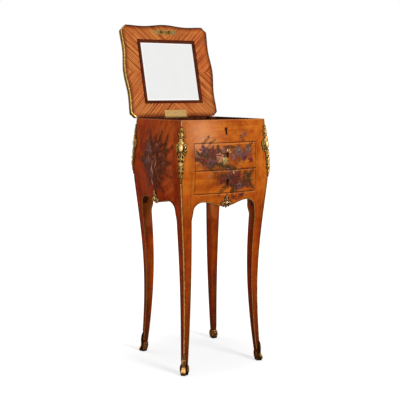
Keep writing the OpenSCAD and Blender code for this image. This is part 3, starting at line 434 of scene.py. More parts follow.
def add_piece(name, mesh, body, materials, nodes=()):
    piece = bpy.data.objects.new(name, mesh)
    bpy.context.scene.collection.objects.link(piece)
    for material in materials:
        mesh.materials.append(material)
    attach(piece, body)
    if nodes:
        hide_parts(*nodes)
    return piece


def dress(material, *nodes):
    """Gives carried-over nodes a finish."""
    for name in nodes:
        held = frame["nodes"][name].data.materials
        held.clear()
        held.append(material)


# Inputs of Blender's Mix node that hold the factor and the two colours
MIX_INPUTS = (0, 6, 7)


class Recipe:
    """A material in the making: its tree, its main shader and short ways to add nodes."""

    def __init__(self, name, **sockets):
        self.material = bpy.data.materials.new(name)
        self.material.use_nodes = True
        self.tree = self.material.node_tree
        self.shader = self.tree.nodes["Principled BSDF"]
        self.set(self.shader, {key.replace("_", " "): value for key, value in sockets.items()})

    def feed(self, socket, value):
        """Links a socket to an output, or gives it a plain value."""
        if isinstance(value, bpy.types.NodeSocket):
            self.tree.links.new(value, socket)
        else:
            socket.default_value = value

    def set(self, node, inputs):
        for key, value in inputs.items():
            self.feed(node.inputs[key], value)

    def add(self, kind, inputs, **settings):
        node = self.tree.nodes.new("ShaderNode" + kind)
        for key, value in settings.items():
            setattr(node, key, value)
        self.set(node, inputs)
        return node

    def place(self, attribute=None):
        """Where the pattern lies: a stored place, or the object's own coordinates."""
        if attribute:
            return self.add("Attribute", {}, attribute_name=attribute).outputs["Vector"]
        return self.add("TexCoord", {}).outputs["Object"]

    def stretched(self, place, scale):
        return self.add("Mapping", {"Vector": place, "Scale": scale}).outputs["Vector"]

    def noise(self, place, scale, detail=4.0, rough=0.55, twist=0.0):
        inputs = {"Scale": scale, "Detail": detail, "Roughness": rough, "Distortion": twist}
        return self.add("TexNoise", {"Vector": place, **inputs}).outputs["Fac"]

    def ramp(self, factor, *stops):
        node = self.add("ValToRGB", {"Fac": factor})
        marks = node.color_ramp.elements
        while len(marks) < len(stops):
            marks.new(0.5)
        for mark, (place, colour) in zip(marks, stops):
            mark.position = place
            mark.color = (*colour, 1)
        return node.outputs["Color"]

    def span(self, value, low, high, to_low, to_high):
        """The value with the run from low to high laid over the run from to_low to to_high."""
        inputs = {"From Min": low, "From Max": high, "To Min": to_low, "To Max": to_high}
        return self.add("MapRange", {"Value": value, **inputs}).outputs["Result"]

    def maths(self, operation, a, b=0):
        node = self.add("Math", {}, operation=operation)
        self.feed(node.inputs[0], a)
        self.feed(node.inputs[1], b)
        return node.outputs[0]

    def plus(self, a, b):
        return self.maths("ADD", a, b)

    def times(self, a, b):
        return self.maths("MULTIPLY", a, b)

    def blend(self, factor, a, b, how="MIX"):
        node = self.add("Mix", {}, data_type="RGBA", blend_type=how)
        for place, value in zip(MIX_INPUTS, (factor, a, b)):
            self.feed(node.inputs[place], (*value, 1) if isinstance(value, tuple) else value)
        return node.outputs[2]

    def finish(self, colour, rough, height=None, strength=0.2, depth=0.0003):
        self.set(self.shader, {"Base Color": colour, "Roughness": rough})
        if height is not None:
            inputs = {"Height": height, "Strength": strength, "Distance": depth}
            self.set(self.shader, {"Normal": self.add("Bump", inputs).outputs["Normal"]})
        return self.material


WARM_SHEEN = (1.0, 0.7, 0.45, 1)
METAL_SHEEN = (0.4, 0.32, 0.22, 1)
VENEER_SHINE = 0.08
SIDE_SHINE = 0.008
WOOD_SHINE = 0.02
# Heights over which the veneers' tones change from those below to those above
SATIN_TURN = (0.43, 0.55)
SIDE_TURN = (0.5, 0.72)


def along(axis, fine, long):
    """Scales of a pattern that is drawn out along one axis."""
    return tuple(long if i == axis else fine for i in range(3))


def veneer(name, upper, lower, turn, axis, painted=True, shine=VENEER_SHINE):
    """Polished figured veneer under old varnish, with the paint laid over it: the sprays, and painted shade
    and highlights.

    upper and lower are the light and dark tones above and below the heights in turn."""
    r = Recipe(name, Specular_IOR_Level=shine, Specular_Tint=WARM_SHEEN)
    place = r.place("place")
    fibre = r.noise(r.stretched(place, along(axis, 420.0, 9.0)), 1.0, 5.0, 0.7)
    figure = r.noise(r.stretched(place, along(axis, 60.0, 10.0)), 1.0, 3.0, 0.5, 0.5)
    mottle = r.noise(place, 26.0, 7.0, 0.72)
    blend = r.plus(r.times(figure, 0.3), r.times(mottle, 0.46))
    blend = r.plus(blend, r.times(fibre, 0.3))
    high = r.ramp(blend, (0.42, upper[1]), (0.6, upper[0]))
    low = r.ramp(blend, (0.42, lower[1]), (0.6, lower[0]))
    level = r.span(r.add("SeparateXYZ", {"Vector": place}).outputs["Z"], *turn, 0.0, 1.0)
    colour = r.blend(level, low, high)
    blush = r.span(r.noise(place, 34.0, 5.0, 0.7), 0.46, 0.62, 0.0, 0.7)
    colour = r.blend(blush, colour, (0.94, 0.62, 0.7), "MULTIPLY")
    specks = r.span(r.noise(place, 620.0, 2.0), 0.6, 0.72, 0.0, 0.75)
    colour = r.blend(specks, colour, (0.5, 0.36, 0.3), "MULTIPLY")
    if painted:
        paint = r.add("Attribute", {}, attribute_name="paint")
        worn = r.span(r.noise(place, 900.0, 2.0), 0.3, 0.42, 0.8, 1.0)
        colour = r.blend(r.times(paint.outputs["Alpha"], worn), colour, paint.outputs["Color"])
    crackle = r.add("TexVoronoi", {"Vector": place, "Scale": 170.0}, feature="DISTANCE_TO_EDGE")
    height = r.plus(r.span(crackle.outputs["Distance"], 0.0, 0.03, 0.0, 0.6), fibre)
    rough = r.span(mottle, 0.3, 0.7, 0.34, 0.5)
    return r.finish(colour, rough, height, 0.12, 0.0002)


def satin_veneer(name, f, axis):
    tones = (f.satin_light, f.satin_dark), (f.leg_light, f.leg_dark)
    return veneer(name, *tones, SATIN_TURN, axis)


def side_veneer(name, f, painted=True):
    tones = (f.side_light, f.side_dark), (f.low_light, f.low_dark)
    return veneer(name, *tones, SIDE_TURN, 2, painted, SIDE_SHINE)


def plain_wood(name, tone, axis, gloss=0.5):
    """Solid wood with open grain, such as the case and the drawer linings."""
    r = Recipe(name, Specular_IOR_Level=WOOD_SHINE, Specular_Tint=WARM_SHEEN)
    place = r.place()
    fibre = r.noise(r.stretched(place, along(axis, 520.0, 10.0)), 1.0, 5.0, 0.7)
    rings = r.noise(r.stretched(place, along(axis, 60.0, 3.0)), 1.0, 3.0, 0.5, 0.8)
    both = r.plus(r.times(fibre, 0.45), r.times(rings, 0.55))
    light = tuple(min(1, c) for c in scaled(tone, 1.3))
    colour = r.ramp(both, (0.36, scaled(tone, 0.45)), (0.5, tone), (0.66, light))
    rough = r.span(fibre, 0.3, 0.7, gloss, gloss + 0.2)
    return r.finish(colour, rough, fibre, 0.25, 0.0003)


STRIPE_STEP = 5.4 * MM
STRIPE_WOBBLE = 0.9 * MM
# Half sizes of the lid's board, and the half length and depth of the waves along its edges
BOARD_WIDE = 148 * MM
BOARD_DEEP = 143 * MM
WAVE_HALF = 134 * MM
WAVE_DEPTH = 2 * MM
# Distances from the board's edge over which it is darker, fading inwards
EDGE_DARKENING = (1.0 * MM, 12.0 * MM)


def board_edge_room(r, out, along_edge, half):
    """How far a place on the lid's board lies inside one pair of its wavy edges."""
    turn = r.times(along_edge, math.pi / WAVE_HALF)
    twice = r.times(turn, 2)
    wave = r.plus(r.maths("COSINE", turn), r.maths("COSINE", twice))
    edge = r.plus(r.times(wave, WAVE_DEPTH), half)
    return r.maths("SUBTRACT", edge, r.maths("ABSOLUTE", out))


def striped_veneer(name, light, dark):
    """Veneer laid in quarters, its stripes all pointing to the middle of the lid."""
    r = Recipe(name, Specular_IOR_Level=VENEER_SHINE, Specular_Tint=WARM_SHEEN)
    turn = Matrix.Rotation(LID_OPEN, 3, "X")
    hinge = Vector((0, HINGE_Y, HINGE_Z))
    middle = Vector((0, HINGE_Y - LID_MIDDLE, HINGE_Z))
    shift = hinge - turn @ hinge - middle
    settings = {"Vector": r.place(), "Location": shift, "Rotation": (LID_OPEN, 0, 0)}
    place = r.add("Mapping", settings).outputs["Vector"]
    parts = r.add("SeparateXYZ", {"Vector": place}).outputs
    x, y = parts["X"], parts["Y"]
    wobble = r.span(r.noise(place, 22.0, 2.0), 0, 1, -STRIPE_WOBBLE, STRIPE_WOBBLE)
    across = r.plus(r.maths("SUBTRACT", r.maths("ABSOLUTE", x), r.maths("ABSOLUTE", y)), wobble)
    length = r.plus(r.maths("ABSOLUTE", x), r.maths("ABSOLUTE", y))
    quarter = r.plus(r.maths("SIGN", x), r.times(r.maths("SIGN", y), 3))
    spot = {"X": across, "Y": r.times(length, 0.014), "Z": quarter}
    line = r.add("CombineXYZ", spot).outputs["Vector"]
    phase = r.span(r.noise(line, 90.0, 2.0), 0.0, 1.0, 0.0, 26.0)
    wave = r.maths("SINE", r.plus(r.times(across, 2 * math.pi / STRIPE_STEP), phase))
    broad = r.noise(line, 260.0, 2.0, 0.6)
    fine = r.noise(line, 900.0, 3.0, 0.6)
    tone = r.plus(r.times(broad, 0.66), r.times(fine, 0.26))
    tone = r.plus(tone, r.span(wave, -1.0, 1.0, -0.03, 0.14))
    warm = between(light, dark, 0.45)
    colour = r.ramp(tone, (0.3, scaled(dark, 0.7)), (0.42, dark), (0.5, warm), (0.64, light))
    blush = r.span(r.noise(place, 11.0, 3.0), 0.42, 0.62, 0.0, 0.8)
    colour = r.blend(blush, colour, (0.86, 0.6, 0.56), "MULTIPLY")
    room = [board_edge_room(r, x, y, BOARD_WIDE), board_edge_room(r, y, x, BOARD_DEEP)]
    edge_darkening = r.span(r.maths("MINIMUM", *room), *EDGE_DARKENING, 1.0, 0.0)
    colour = r.blend(edge_darkening, colour, (0.42, 0.27, 0.16), "MULTIPLY")
    rough = r.span(r.noise(place, 14.0), 0.3, 0.7, 0.28, 0.42)
    return r.finish(colour, rough, fine, 0.1, 0.0002)


def metal(name, bright, dull, rough=0.34, hollow=0.004, rubbed=0.0):
    """Rubbed metal: bright where it stands proud, dull and brown in its hollows.

    rubbed is how much duller it is where its points' rub is nought."""
    r = Recipe(name, Metallic=1.0, Specular_Tint=METAL_SHEEN)
    place = r.place()
    closed = r.add("AmbientOcclusion", {"Distance": hollow}, samples=8).outputs["AO"]
    proud = r.add("NewGeometry", {}).outputs["Pointiness"]
    patch = r.noise(place, 240.0, 4.0, 0.6)
    wear = r.plus(r.span(proud, 0.46, 0.56, -0.2, 0.3), r.span(patch, 0.3, 0.7, -0.28, 0.28))
    wear = r.plus(wear, r.span(closed, 0.4, 1.0, 0.0, 0.56))
    if rubbed:
        rub = r.add("Attribute", {}, attribute_name="rub").outputs["Fac"]
        wear = r.plus(wear, r.span(rub, 0.0, 1.0, -rubbed, 0.26))
    deep, middle = scaled(dull, 0.2), between(dull, bright, 0.4)
    colour = r.ramp(wear, (0.12, deep), (0.36, dull), (0.62, middle), (0.95, bright))
    gloss = r.span(patch, 0.3, 0.7, rough - 0.08, rough + 0.16)
    pits = r.noise(place, 1400.0, 3.0)
    return r.finish(colour, gloss, r.plus(pits, r.times(patch, 0.6)), 0.22, 0.0002)


def mirror_face(name, brightness):
    """Silvered glass with the faint haze of age."""
    r = Recipe(name, Metallic=1.0)
    haze = r.noise(r.place(), 30.0, 5.0)
    pale = (brightness, brightness, brightness * 0.992)
    colour = r.ramp(haze, (0.35, scaled(pale, 0.985)), (0.6, pale))
    return r.finish(colour, r.span(haze, 0.3, 0.7, 0.015, 0.05))


PETAL_RINGS = 3


class Canvas:
    """Brush strokes laid over points of a face. Places and sizes are in millimetres."""

    def __init__(self, u, z, seed):
        self.u = np.asarray(u).ravel() / MM
        self.z = np.asarray(z).ravel() / MM
        self.rgba = np.zeros((len(self.u), 4))
        self.random = np.random.default_rng(seed)

    def lay(self, where, cover, colour):
        """Lays a colour over the points at where, with a cover from 0 to 1."""
        old = self.rgba[where]
        a = np.clip(cover, 0, 1)[:, None]
        total = a + old[:, 3:] * (1 - a)
        mixed = (colour * a + old[:, :3] * old[:, 3:] * (1 - a)) / np.maximum(total, 1e-6)
        self.rgba[where] = np.concatenate([mixed, total], 1)

    def shade(self, cover, colour):
        """Darkens or tints all the points by a field of cover."""
        self.lay(np.arange(len(self.u)), cover, np.array(linear(*colour))[None])

    def petal(self, at, angle, long, wide, root, tip, strength=0.95, turn=0.8):
        """One stroke that swells from its root and rounds off at its tip."""
        reach = long * 1.2
        near = np.nonzero((np.abs(self.u - at[0]) < reach) & (np.abs(self.z - at[1]) < reach))[0]
        if not len(near):
            return
        c, s = math.cos(angle), math.sin(angle)
        du, dz = self.u[near] - at[0], self.z[near] - at[1]
        a = (du * c + dz * s) / long
        b = (dz * c - du * s) / wide
        inside = (a > 0) & (a < 1)
        t = np.clip(a, 0, 1)
        edge = np.sin(np.pi * t**turn) ** 0.7
        cover = np.where(inside, np.clip((edge - np.abs(b)) / 0.32, 0, 1), 0) * strength
        base, end = np.array(linear(*root)), np.array(linear(*tip))
        colour = base + (end - base) * t[:, None]
        colour = colour * (1 + 0.22 * np.clip(b, -1, 1))[:, None]
        self.lay(near, cover, np.clip(colour, 0, 1))

    def wash(self, u, z, wide, tall, colour, strength):
        """A thin cloudy layer with a ragged edge: under a bunch of flowers, and in some places a pale
        painted highlight over the wood.
        """
        du, dz = self.u - u, self.z - z
        rag = np.zeros_like(du)
        for i in range(5):
            turn = self.random.uniform(0, 2 * math.pi)
            pace = 0.11 * 1.5**i
            wave = du * math.cos(turn) + dz * math.sin(turn)
            rag += np.sin(pace * wave * 2 + self.random.uniform(0, 6)) / (1 + 0.6 * i)
        room = 1 - np.hypot(du / wide, dz / tall) + 0.13 * rag
        cover = np.clip(room / 0.45, 0, 1) * strength
        near = np.nonzero(cover > 0.01)[0]
        tone = np.array(linear(*colour)) * (1 + 0.2 * np.clip(rag[near], -1, 1))[:, None]
        self.lay(near, cover[near], np.clip(tone, 0, 1))

    def spray(self, u, z, wide, tall, count, leaf, dark, light):
        """Leaves that point outwards all round a bunch."""
        for _ in range(count):
            angle = self.random.uniform(0, 2 * math.pi)
            off = self.random.uniform(0.15, 0.9)
            spot = (u + wide * off * math.cos(angle), z + tall * off * math.sin(angle))
            turn = math.atan2(math.sin(angle) / wide * tall, math.cos(angle))
            turn += self.random.uniform(-0.5, 0.5)
            self.leaf(spot, turn, leaf * self.random.uniform(0.6, 1.15), dark, light)

    def flower(self, u, z, radius, kind):
        """Ruffled rings of petals, darkest at their roots and paler at some of their rims."""
        petals, outer, inner, glow = kind
        for ring in range(PETAL_RINGS):
            reach = radius * (1 - 0.3 * ring)
            tone = between(outer, glow, ring / (PETAL_RINGS - 1))
            turn = self.random.uniform(0, 2 * math.pi)
            count = petals + 2 - ring
            for i in range(count):
                angle = turn + 2 * math.pi * (i + self.random.uniform(-0.35, 0.35)) / count
                long = reach * self.random.uniform(0.62, 1.15)
                wide = long * self.random.uniform(0.24, 0.42)
                lit = self.random.uniform(0.62, 1.15) + 0.12 * math.sin(angle)
                off = radius * 0.12 * self.random.uniform(0, 1)
                spot = (u + off * math.cos(angle * 3), z + off * math.sin(angle * 3))
                self.petal(spot, angle, long, wide, inner, self.lighter(tone, lit), 0.88, 1.5)
        for angle in (0.4, 2.2, 4.4):
            self.petal((u, z), angle, radius * 0.26, radius * 0.1, inner, inner, 0.8)

    @staticmethod
    def lighter(tone, share):
        return tuple(min(255, c * share) for c in tone)

    def flowers(self, *rows):
        for row in rows:
            self.flower(*row)

    def leaf(self, at, angle, long, dark, light):
        self.petal(at, angle, long, long * 0.26, dark, light, 0.85)
        self.petal(at, angle, long * 0.9, long * 0.05, dark, dark, 0.5)

    def sprig(self, at, angle, long, bend, count, leaf, dark, light):
        """A bent stem with leaves on both sides and one at its tip."""
        spot, heading = np.array(at, float), angle
        step = long / (count + 1)
        for i in range(count + 1):
            self.petal(spot, heading, step * 1.25, 0.7, dark, dark, 0.85, 1.0)
            spot = spot + step * np.array([math.cos(heading), math.sin(heading)])
            heading += bend / (count + 1)
            shrink = 1 - 0.45 * i / (count + 1)
            for side in (-1, 1):
                turn = heading + side * self.random.uniform(0.55, 1.0)
                self.leaf(spot, turn, leaf * shrink * self.random.uniform(0.8, 1.15), dark, light)
        self.leaf(spot, heading, leaf, dark, light)

    def bells(self, u, z, count, spread, tone, light):
        """A loose cluster of small round florets."""
        for _ in range(count):
            angle = self.random.uniform(0, 2 * math.pi)
            off = spread * math.sqrt(self.random.uniform(0, 1))
            spot = (u + off * math.cos(angle), z + off * math.sin(angle))
            for i in range(4):
                turn = angle + math.pi / 2 * i
                self.petal(spot, turn, spread * 0.26, spread * 0.12, tone, light, 0.85)

    def ribbon(self, points, wide, colour, strength):
        """A flat ribbon through points, wider and narrower as it twists."""
        points = np.array(points, float)
        for i, (a, b) in enumerate(zip(points[:-1], points[1:])):
            run = b - a
            twist = i % 2
            lit = self.lighter(colour, 0.8 + 0.35 * twist)
            heading, reach = math.atan2(run[1], run[0]), float(np.hypot(*run)) * 1.3
            self.petal(a - run * 0.12, heading, reach, wide * (0.6 + 0.4 * twist), lit, lit, strength, 1.0)


# Each flower's number of outer petals, their rims, their roots and its paler middle
WINE = (7, (118, 44, 38), (56, 14, 18), (150, 66, 50))
PLUM = (7, (116, 62, 66), (46, 18, 26), (146, 90, 84))
ROSE = (7, (214, 136, 104), (134, 58, 44), (232, 166, 124))
SLATE = (6, (118, 92, 88), (64, 42, 42), (150, 122, 108))
CREAM = (7, (206, 180, 104), (96, 66, 24), (238, 220, 150))
POPPY = (5, (214, 84, 26), (112, 26, 12), (232, 120, 40))
MAUVE = (6, (150, 96, 90), (92, 46, 44), (178, 122, 104))
BRICK = (6, (150, 66, 34), (86, 26, 16), (186, 98, 52))
DUSK = (7, (166, 88, 64), (84, 34, 28), (200, 126, 94))
HAZE = (6, (146, 98, 90), (82, 44, 44), (180, 132, 116))
# Each kind of leaf's dark and light tone
GREEN = ((34, 24, 14), (84, 64, 30))
OLIVE = ((34, 24, 14), (122, 72, 34))
AMBER = ((92, 56, 34), (122, 72, 34))
TWIG = ((110, 54, 30), (122, 72, 34))
BARK = ((70, 34, 18), (122, 72, 34))
SHADED = ((76, 32, 20), (138, 76, 46))


def painted_glare(canvas, where=1.0):
    """Painted highlight: a pale glare of reflected light over the frieze's left end and the post beside it.
    """
    across, up = (canvas.u + 78) / 40, (canvas.z - 690) / 44
    canvas.shade(0.34 * where * np.exp(-(across**2) - up**2), (246, 178, 132))


def paint_front(canvas):
    """A dark bunch on the upper drawer trailing down to another, with sprigs above and below."""
    c = canvas
    # Painted highlight: a pale glare over the frieze's left end, and a paler haze over the upper drawer's
    # left end
    painted_glare(c)
    c.wash(-68, 640, 36, 44, (226, 158, 124), 0.24)
    c.wash(88, 566, 24, 50, (150, 60, 14), 0.3)
    for u, z, turn, long, bend, count, leaf, kind in (
        (38, 666, 0.5, 34, 0.7, 5, 9, TWIG), (52, 660, 1.3, 28, -0.6, 4, 9, TWIG),
        (-84, 654, 0.5, 34, 0.5, 5, 10, BARK), (-60, 652, 0.9, 26, -0.5, 4, 9, BARK),
    ):
        c.sprig((u, z), turn, long, bend, count, leaf, *kind)
    c.flowers((66, 682, 7, MAUVE), (48, 678, 5, BRICK))
    for u, z, wide, tall, colour, strength in (
        (-46, 624, 52, 30, (70, 34, 22), 0.7), (-62, 606, 34, 24, (74, 24, 20), 0.7),
        (40, 628, 58, 32, (104, 50, 36), 0.72), (0, 592, 46, 18, (88, 40, 22), 0.6),
        (38, 554, 56, 30, (74, 28, 14), 0.86), (-14, 562, 42, 22, (80, 32, 16), 0.74),
        (40, 508, 26, 14, (112, 42, 12), 0.7),
    ):
        c.wash(u, z, wide, tall, colour, strength)
    c.spray(-46, 624, 50, 30, 90, 15, *GREEN)
    c.spray(40, 626, 48, 22, 34, 13, *AMBER)
    c.spray(38, 552, 50, 26, 90, 15, *GREEN)
    c.spray(40, 509, 24, 10, 22, 10, *OLIVE)
    for u, z, turn, long, bend in (
        (-20, 640, 0.5, 40, -0.7), (-84, 616, 2.9, 18, 0.4), (-34, 604, -0.5, 56, 0.5),
        (60, 640, 0.3, 30, 0.5), (-10, 598, -0.6, 40, -0.3), (8, 560, 2.9, 70, -0.4),
        (14, 546, 3.5, 46, 0.6), (66, 562, 0.4, 30, 0.6), (70, 546, -0.4, 24, -0.5),
        (22, 536, -2.0, 18, 0.5),
    ):
        c.sprig((u, z), turn, long, bend, max(3, round(long / 8)), 13, *GREEN)
    c.flowers(
        (-72, 640, 16, PLUM), (-46, 634, 19, WINE), (-76, 612, 15, WINE), (-54, 606, 16, PLUM),
        (-26, 618, 15, ROSE), (-12, 640, 10, MAUVE), (-10, 612, 12, CREAM), (38, 634, 16, SLATE),
        (60, 620, 14, PLUM), (18, 622, 10, MAUVE), (82, 634, 10, SLATE), (84, 608, 9, WINE),
    )
    c.bells(74, 646, 12, 9, (110, 84, 84), (150, 122, 112))
    c.bells(6, 636, 9, 8, (206, 166, 120), (232, 204, 160))
    c.bells(-92, 626, 9, 9, (88, 60, 60), (130, 100, 90))
    c.flowers(
        (30, 564, 17, WINE), (56, 558, 15, BRICK), (42, 538, 16, PLUM), (12, 548, 12, WINE),
        (72, 538, 11, WINE), (-32, 572, 9, BRICK), (-14, 556, 13, WINE), (2, 566, 10, PLUM),
        (0, 584, 9, MAUVE),
    )
    c.bells(-56, 568, 9, 9, (112, 60, 40), (160, 106, 74))
    c.bells(22, 580, 6, 6, (214, 180, 140), (240, 220, 186))
    c.spray(-46, 622, 44, 26, 26, 10, *GREEN)
    c.spray(40, 552, 40, 22, 24, 10, *GREEN)
    c.flowers((34, 508, 12, POPPY), (54, 513, 8, WINE), (20, 514, 6, BRICK))


def paint_side(canvas):
    """A wide bunch hung from a knotted ribbon, in shaded colours."""
    c = canvas
    loop = [(4, 692), (-8, 700), (-16, 692), (-6, 684), (4, 690), (16, 700), (24, 690), (13, 683), (4, 688)]
    # Painted highlight: two pale orange washes that brighten the upper part and the end at positive u, the
    # front corner of the left side and the back corner of the right
    c.wash(60, 680, 70, 60, (236, 120, 48), 0.4)
    c.wash(84, 590, 52, 96, (236, 110, 54), 0.5)
    c.wash(4, 610, 92, 78, (124, 46, 26), 0.6)
    c.wash(-20, 604, 66, 62, (92, 42, 32), 0.6)
    c.wash(10, 552, 44, 36, (104, 42, 28), 0.6)
    c.ribbon(loop, 2.4, (140, 76, 46), 0.6)
    c.ribbon([(4, 688), (0, 674), (7, 662), (2, 648)], 2.0, (132, 70, 44), 0.6)
    c.spray(0, 616, 84, 60, 130, 20, *SHADED)
    c.spray(8, 556, 38, 36, 44, 17, *SHADED)
    for u, z, turn, long in (
        (-10, 646, 2.3, 44), (12, 646, 0.8, 46), (40, 624, 0.2, 60), (-40, 600, 3.3, 44),
        (30, 592, -0.6, 70), (-10, 580, -1.9, 56), (14, 570, -1.2, 56), (50, 640, 0.9, 40),
        (44, 604, -0.2, 56),
    ):
        c.sprig((u, z), turn, long, 0.5 if u > 0 else -0.5, 6, 16, *SHADED)
    c.flowers(
        (-30, 634, 21, HAZE), (18, 644, 18, DUSK), (-4, 610, 23, DUSK), (-48, 600, 17, HAZE),
        (42, 618, 17, DUSK), (-10, 574, 17, HAZE), (26, 582, 15, DUSK), (-58, 630, 12, DUSK),
        (58, 598, 11, DUSK),
    )
    c.spray(0, 612, 70, 52, 50, 14, *SHADED)
    c.bells(-40, 654, 12, 12, (96, 74, 70), (132, 108, 98))
    c.bells(30, 558, 10, 12, (120, 70, 46), (160, 108, 78))
    c.bells(62, 640, 9, 11, (110, 56, 36), (150, 96, 66))
    c.ribbon([(-2, 606), (-12, 590), (-5, 570), (-16, 550), (-10, 536)], 2.8, (250, 168, 132), 0.85)
    c.ribbon([(6, 626), (16, 606), (9, 588), (20, 566)], 2.4, (240, 156, 122), 0.75)
    c.ribbon([(-24, 640), (-34, 620), (-26, 600)], 2.2, (226, 146, 118), 0.7)


# The four squares that meet at a grid point, as parts of the grid
MEETING = (np.s_[:-1, :-1], np.s_[:-1, 1:], np.s_[1:, 1:], np.s_[1:, :-1])
LEAST_SLOPE = 0.3


def squares(room, hole=False):
    """A grid's squares to keep, where room is above nought, and the points along their edge.

    With hole, the grid's own outline isn't such an edge."""
    keep = sum(room[part] for part in MEETING) > 0
    touched = np.zeros(room.shape)
    for part in MEETING:
        touched[part] += ~keep if hole else keep
    return keep, (touched > 0) & (touched < 4)


class Relief:
    """A cast relief over a flat pattern, alike on both sides. Places are in millimetres."""

    def __init__(self, x, y):
        self.x = np.abs(x) / MM
        self.y = y / MM
        self.inside = np.full(self.x.shape, -9.0)
        self.high = np.zeros(self.x.shape)

    def merge(self, inside, high):
        self.inside = np.maximum(self.inside, inside)
        self.high = np.maximum(self.high, np.where(inside > 0, high, 0))

    def dome(self, x, y, wide, tall, high, flutes=0):
        a, b = (self.x - x) / wide, (self.y - y) / tall
        r = np.hypot(a, b)
        rise = high * np.sqrt(np.clip(1 - r**2, 0, 1))
        if flutes:
            groove = 0.5 - 0.5 * np.cos(flutes * np.arctan2(b, a))
            rise = rise * (1 - 0.22 * groove * np.clip(3 * r, 0, 1))
        self.merge((1 - r) * min(wide, tall), rise)

    def leaf(self, x, y, to_x, to_y, wide, high, lobes=4):
        """A leaf with a lobed edge, a rib down its middle and veins to its sides."""
        run = math.hypot(to_x - x, to_y - y)
        c, s = (to_x - x) / run, (to_y - y) / run
        for side in (1, -1) if x > 0 or to_x > 0 else (1,):
            a = ((side * self.x - x) * c + (self.y - y) * s) / run
            b = ((self.y - y) * c - (side * self.x - x) * s)
            t = np.clip(a, 0, 1)
            notch = 1 - 0.2 * np.abs(np.sin(np.pi * lobes * t)) ** 3
            edge = wide * np.sin(np.pi * (0.06 + 0.94 * t) ** 0.75) ** 0.8 * notch
            inside = np.minimum(edge - np.abs(b), run * np.minimum(a, 1 - a) + 0.4)
            across = np.clip(np.abs(b) / np.maximum(edge, 0.1), 0, 1)
            rise = high * np.sqrt(1 - across**2) * (0.72 + 0.28 * np.sin(np.pi * t))
            rise = rise - 0.3 * high * np.exp(-((b / 0.5) ** 2))
            rise = rise - 0.2 * high * (0.5 + 0.5 * np.cos(2 * np.pi * (lobes * 2 * t - 1.2 * across)))
            self.merge(inside, np.maximum(rise, 0.25 * high))

    def scroll(self, points, wide, high, taper=0.0):
        """A round band through points."""
        points = np.array(points, float)
        steps = len(points) - 1
        for i, (a, b) in enumerate(zip(points[:-1], points[1:])):
            run = b - a
            t = np.clip(((self.x - a[0]) * run[0] + (self.y - a[1]) * run[1]) / (run @ run), 0, 1)
            gone = np.hypot(self.x - a[0] - t * run[0], self.y - a[1] - t * run[1])
            thin = taper * (i + t) / steps
            half = wide / 2 * (1 - thin)
            rise = high * np.sqrt(np.clip(1 - (gone / half) ** 2, 0, 1)) * (1 - 0.5 * thin)
            self.merge(half - gone, rise)

    def snapped(self, x, y):
        """Squares to keep, with the pattern's edge points drawn onto its outline."""
        d = self.inside
        keep, edge = squares(d)
        down, right = np.gradient(d)
        dy = np.gradient(y, axis=0) / MM
        dx = np.gradient(x, axis=1) / MM
        gx, gy = right / dx, down / dy
        pull = np.where(edge, -d / np.maximum(gx**2 + gy**2, LEAST_SLOPE), 0)
        step = 0.6 * np.maximum(np.abs(dx).max(), np.abs(dy).max())
        move_x = np.clip(pull * gx, -step, step) * MM
        move_y = np.clip(pull * gy, -step, step) * MM
        return keep, x + move_x, y + move_y


def chute_relief(relief):
    """The corner mount: a palmette, a boss in a winged shell, leaves and a tail of husks."""
    r = relief
    r.scroll([(0, 6), (0, 150)], 3.6, 2.6)
    r.scroll([(0, 12), (0, 40)], 12.5, 1.1)
    r.scroll([(0, 48), (0, 68)], 24.0, 1.2)
    r.scroll([(0, 66), (0, 116)], 13.0, 1.1, 0.3)
    r.scroll([(0, 112), (0, 146)], 9.5, 1.0, 0.4)
    r.dome(0, 5.4, 5.2, 5.2, 4.6, 6)
    r.leaf(1.5, 12, 8.6, 6, 3.0, 3.8, 3)
    r.leaf(0, 34, 0, 8, 7.4, 5.4, 5)
    r.leaf(3, 26, 10.6, 14, 4.0, 4.6, 4)
    r.leaf(3, 38, 11.2, 26, 4.0, 4.6, 4)
    r.dome(0, 36, 5.8, 4.6, 5.6)
    r.dome(0, 43, 9.8, 7.5, 5.6, 11)
    r.leaf(5, 50, 13, 38, 3.8, 4.2, 4)
    r.scroll([(8, 51), (12, 47.5), (16.5, 50), (18, 56), (16.5, 63), (12, 67), (9.5, 64)], 4.4, 5.0, 0.25)
    r.leaf(11, 56, 19.5, 46, 3.8, 4.0, 4)
    r.leaf(11, 63, 19.0, 72, 4.2, 4.4, 4)
    r.leaf(7, 68, 13, 79, 3.8, 4.4, 4)
    r.dome(12.6, 57, 3.4, 5.5, 3.6)
    r.dome(0, 57, 8.0, 12.6, 6.8)
    rim = [(10.4 * math.sin(a), 57 - 15.6 * math.cos(a)) for a in np.linspace(0, math.pi, 15)]
    r.scroll(rim, 2.4, 4.4)
    r.scroll([(1, 73), (5, 75), (8.5, 81), (7.5, 88), (4.5, 90), (3, 86)], 3.6, 5.2, 0.3)
    r.leaf(0, 72, 0, 97, 6.6, 6.0, 6)
    r.leaf(3, 84, 10.5, 96, 3.6, 4.6, 4)
    r.dome(0, 101, 7.4, 7.4, 6.8, 7)
    r.leaf(4, 104, 10.5, 98, 3.4, 4.8, 3)
    r.leaf(4, 105, 10, 117, 3.6, 5.0, 4)
    r.leaf(0, 107, 0, 131, 6.6, 6.4, 6)
    r.leaf(3, 117, 9.0, 129, 3.4, 4.6, 4)
    r.leaf(0, 126, 0, 146, 5.8, 5.4, 5)
    r.leaf(2, 131, 7.4, 142, 3.0, 3.8, 3)
    r.leaf(0, 141, 0, 154, 4.4, 3.8, 3)
    r.dome(0, 151, 2.8, 3.6, 2.8)


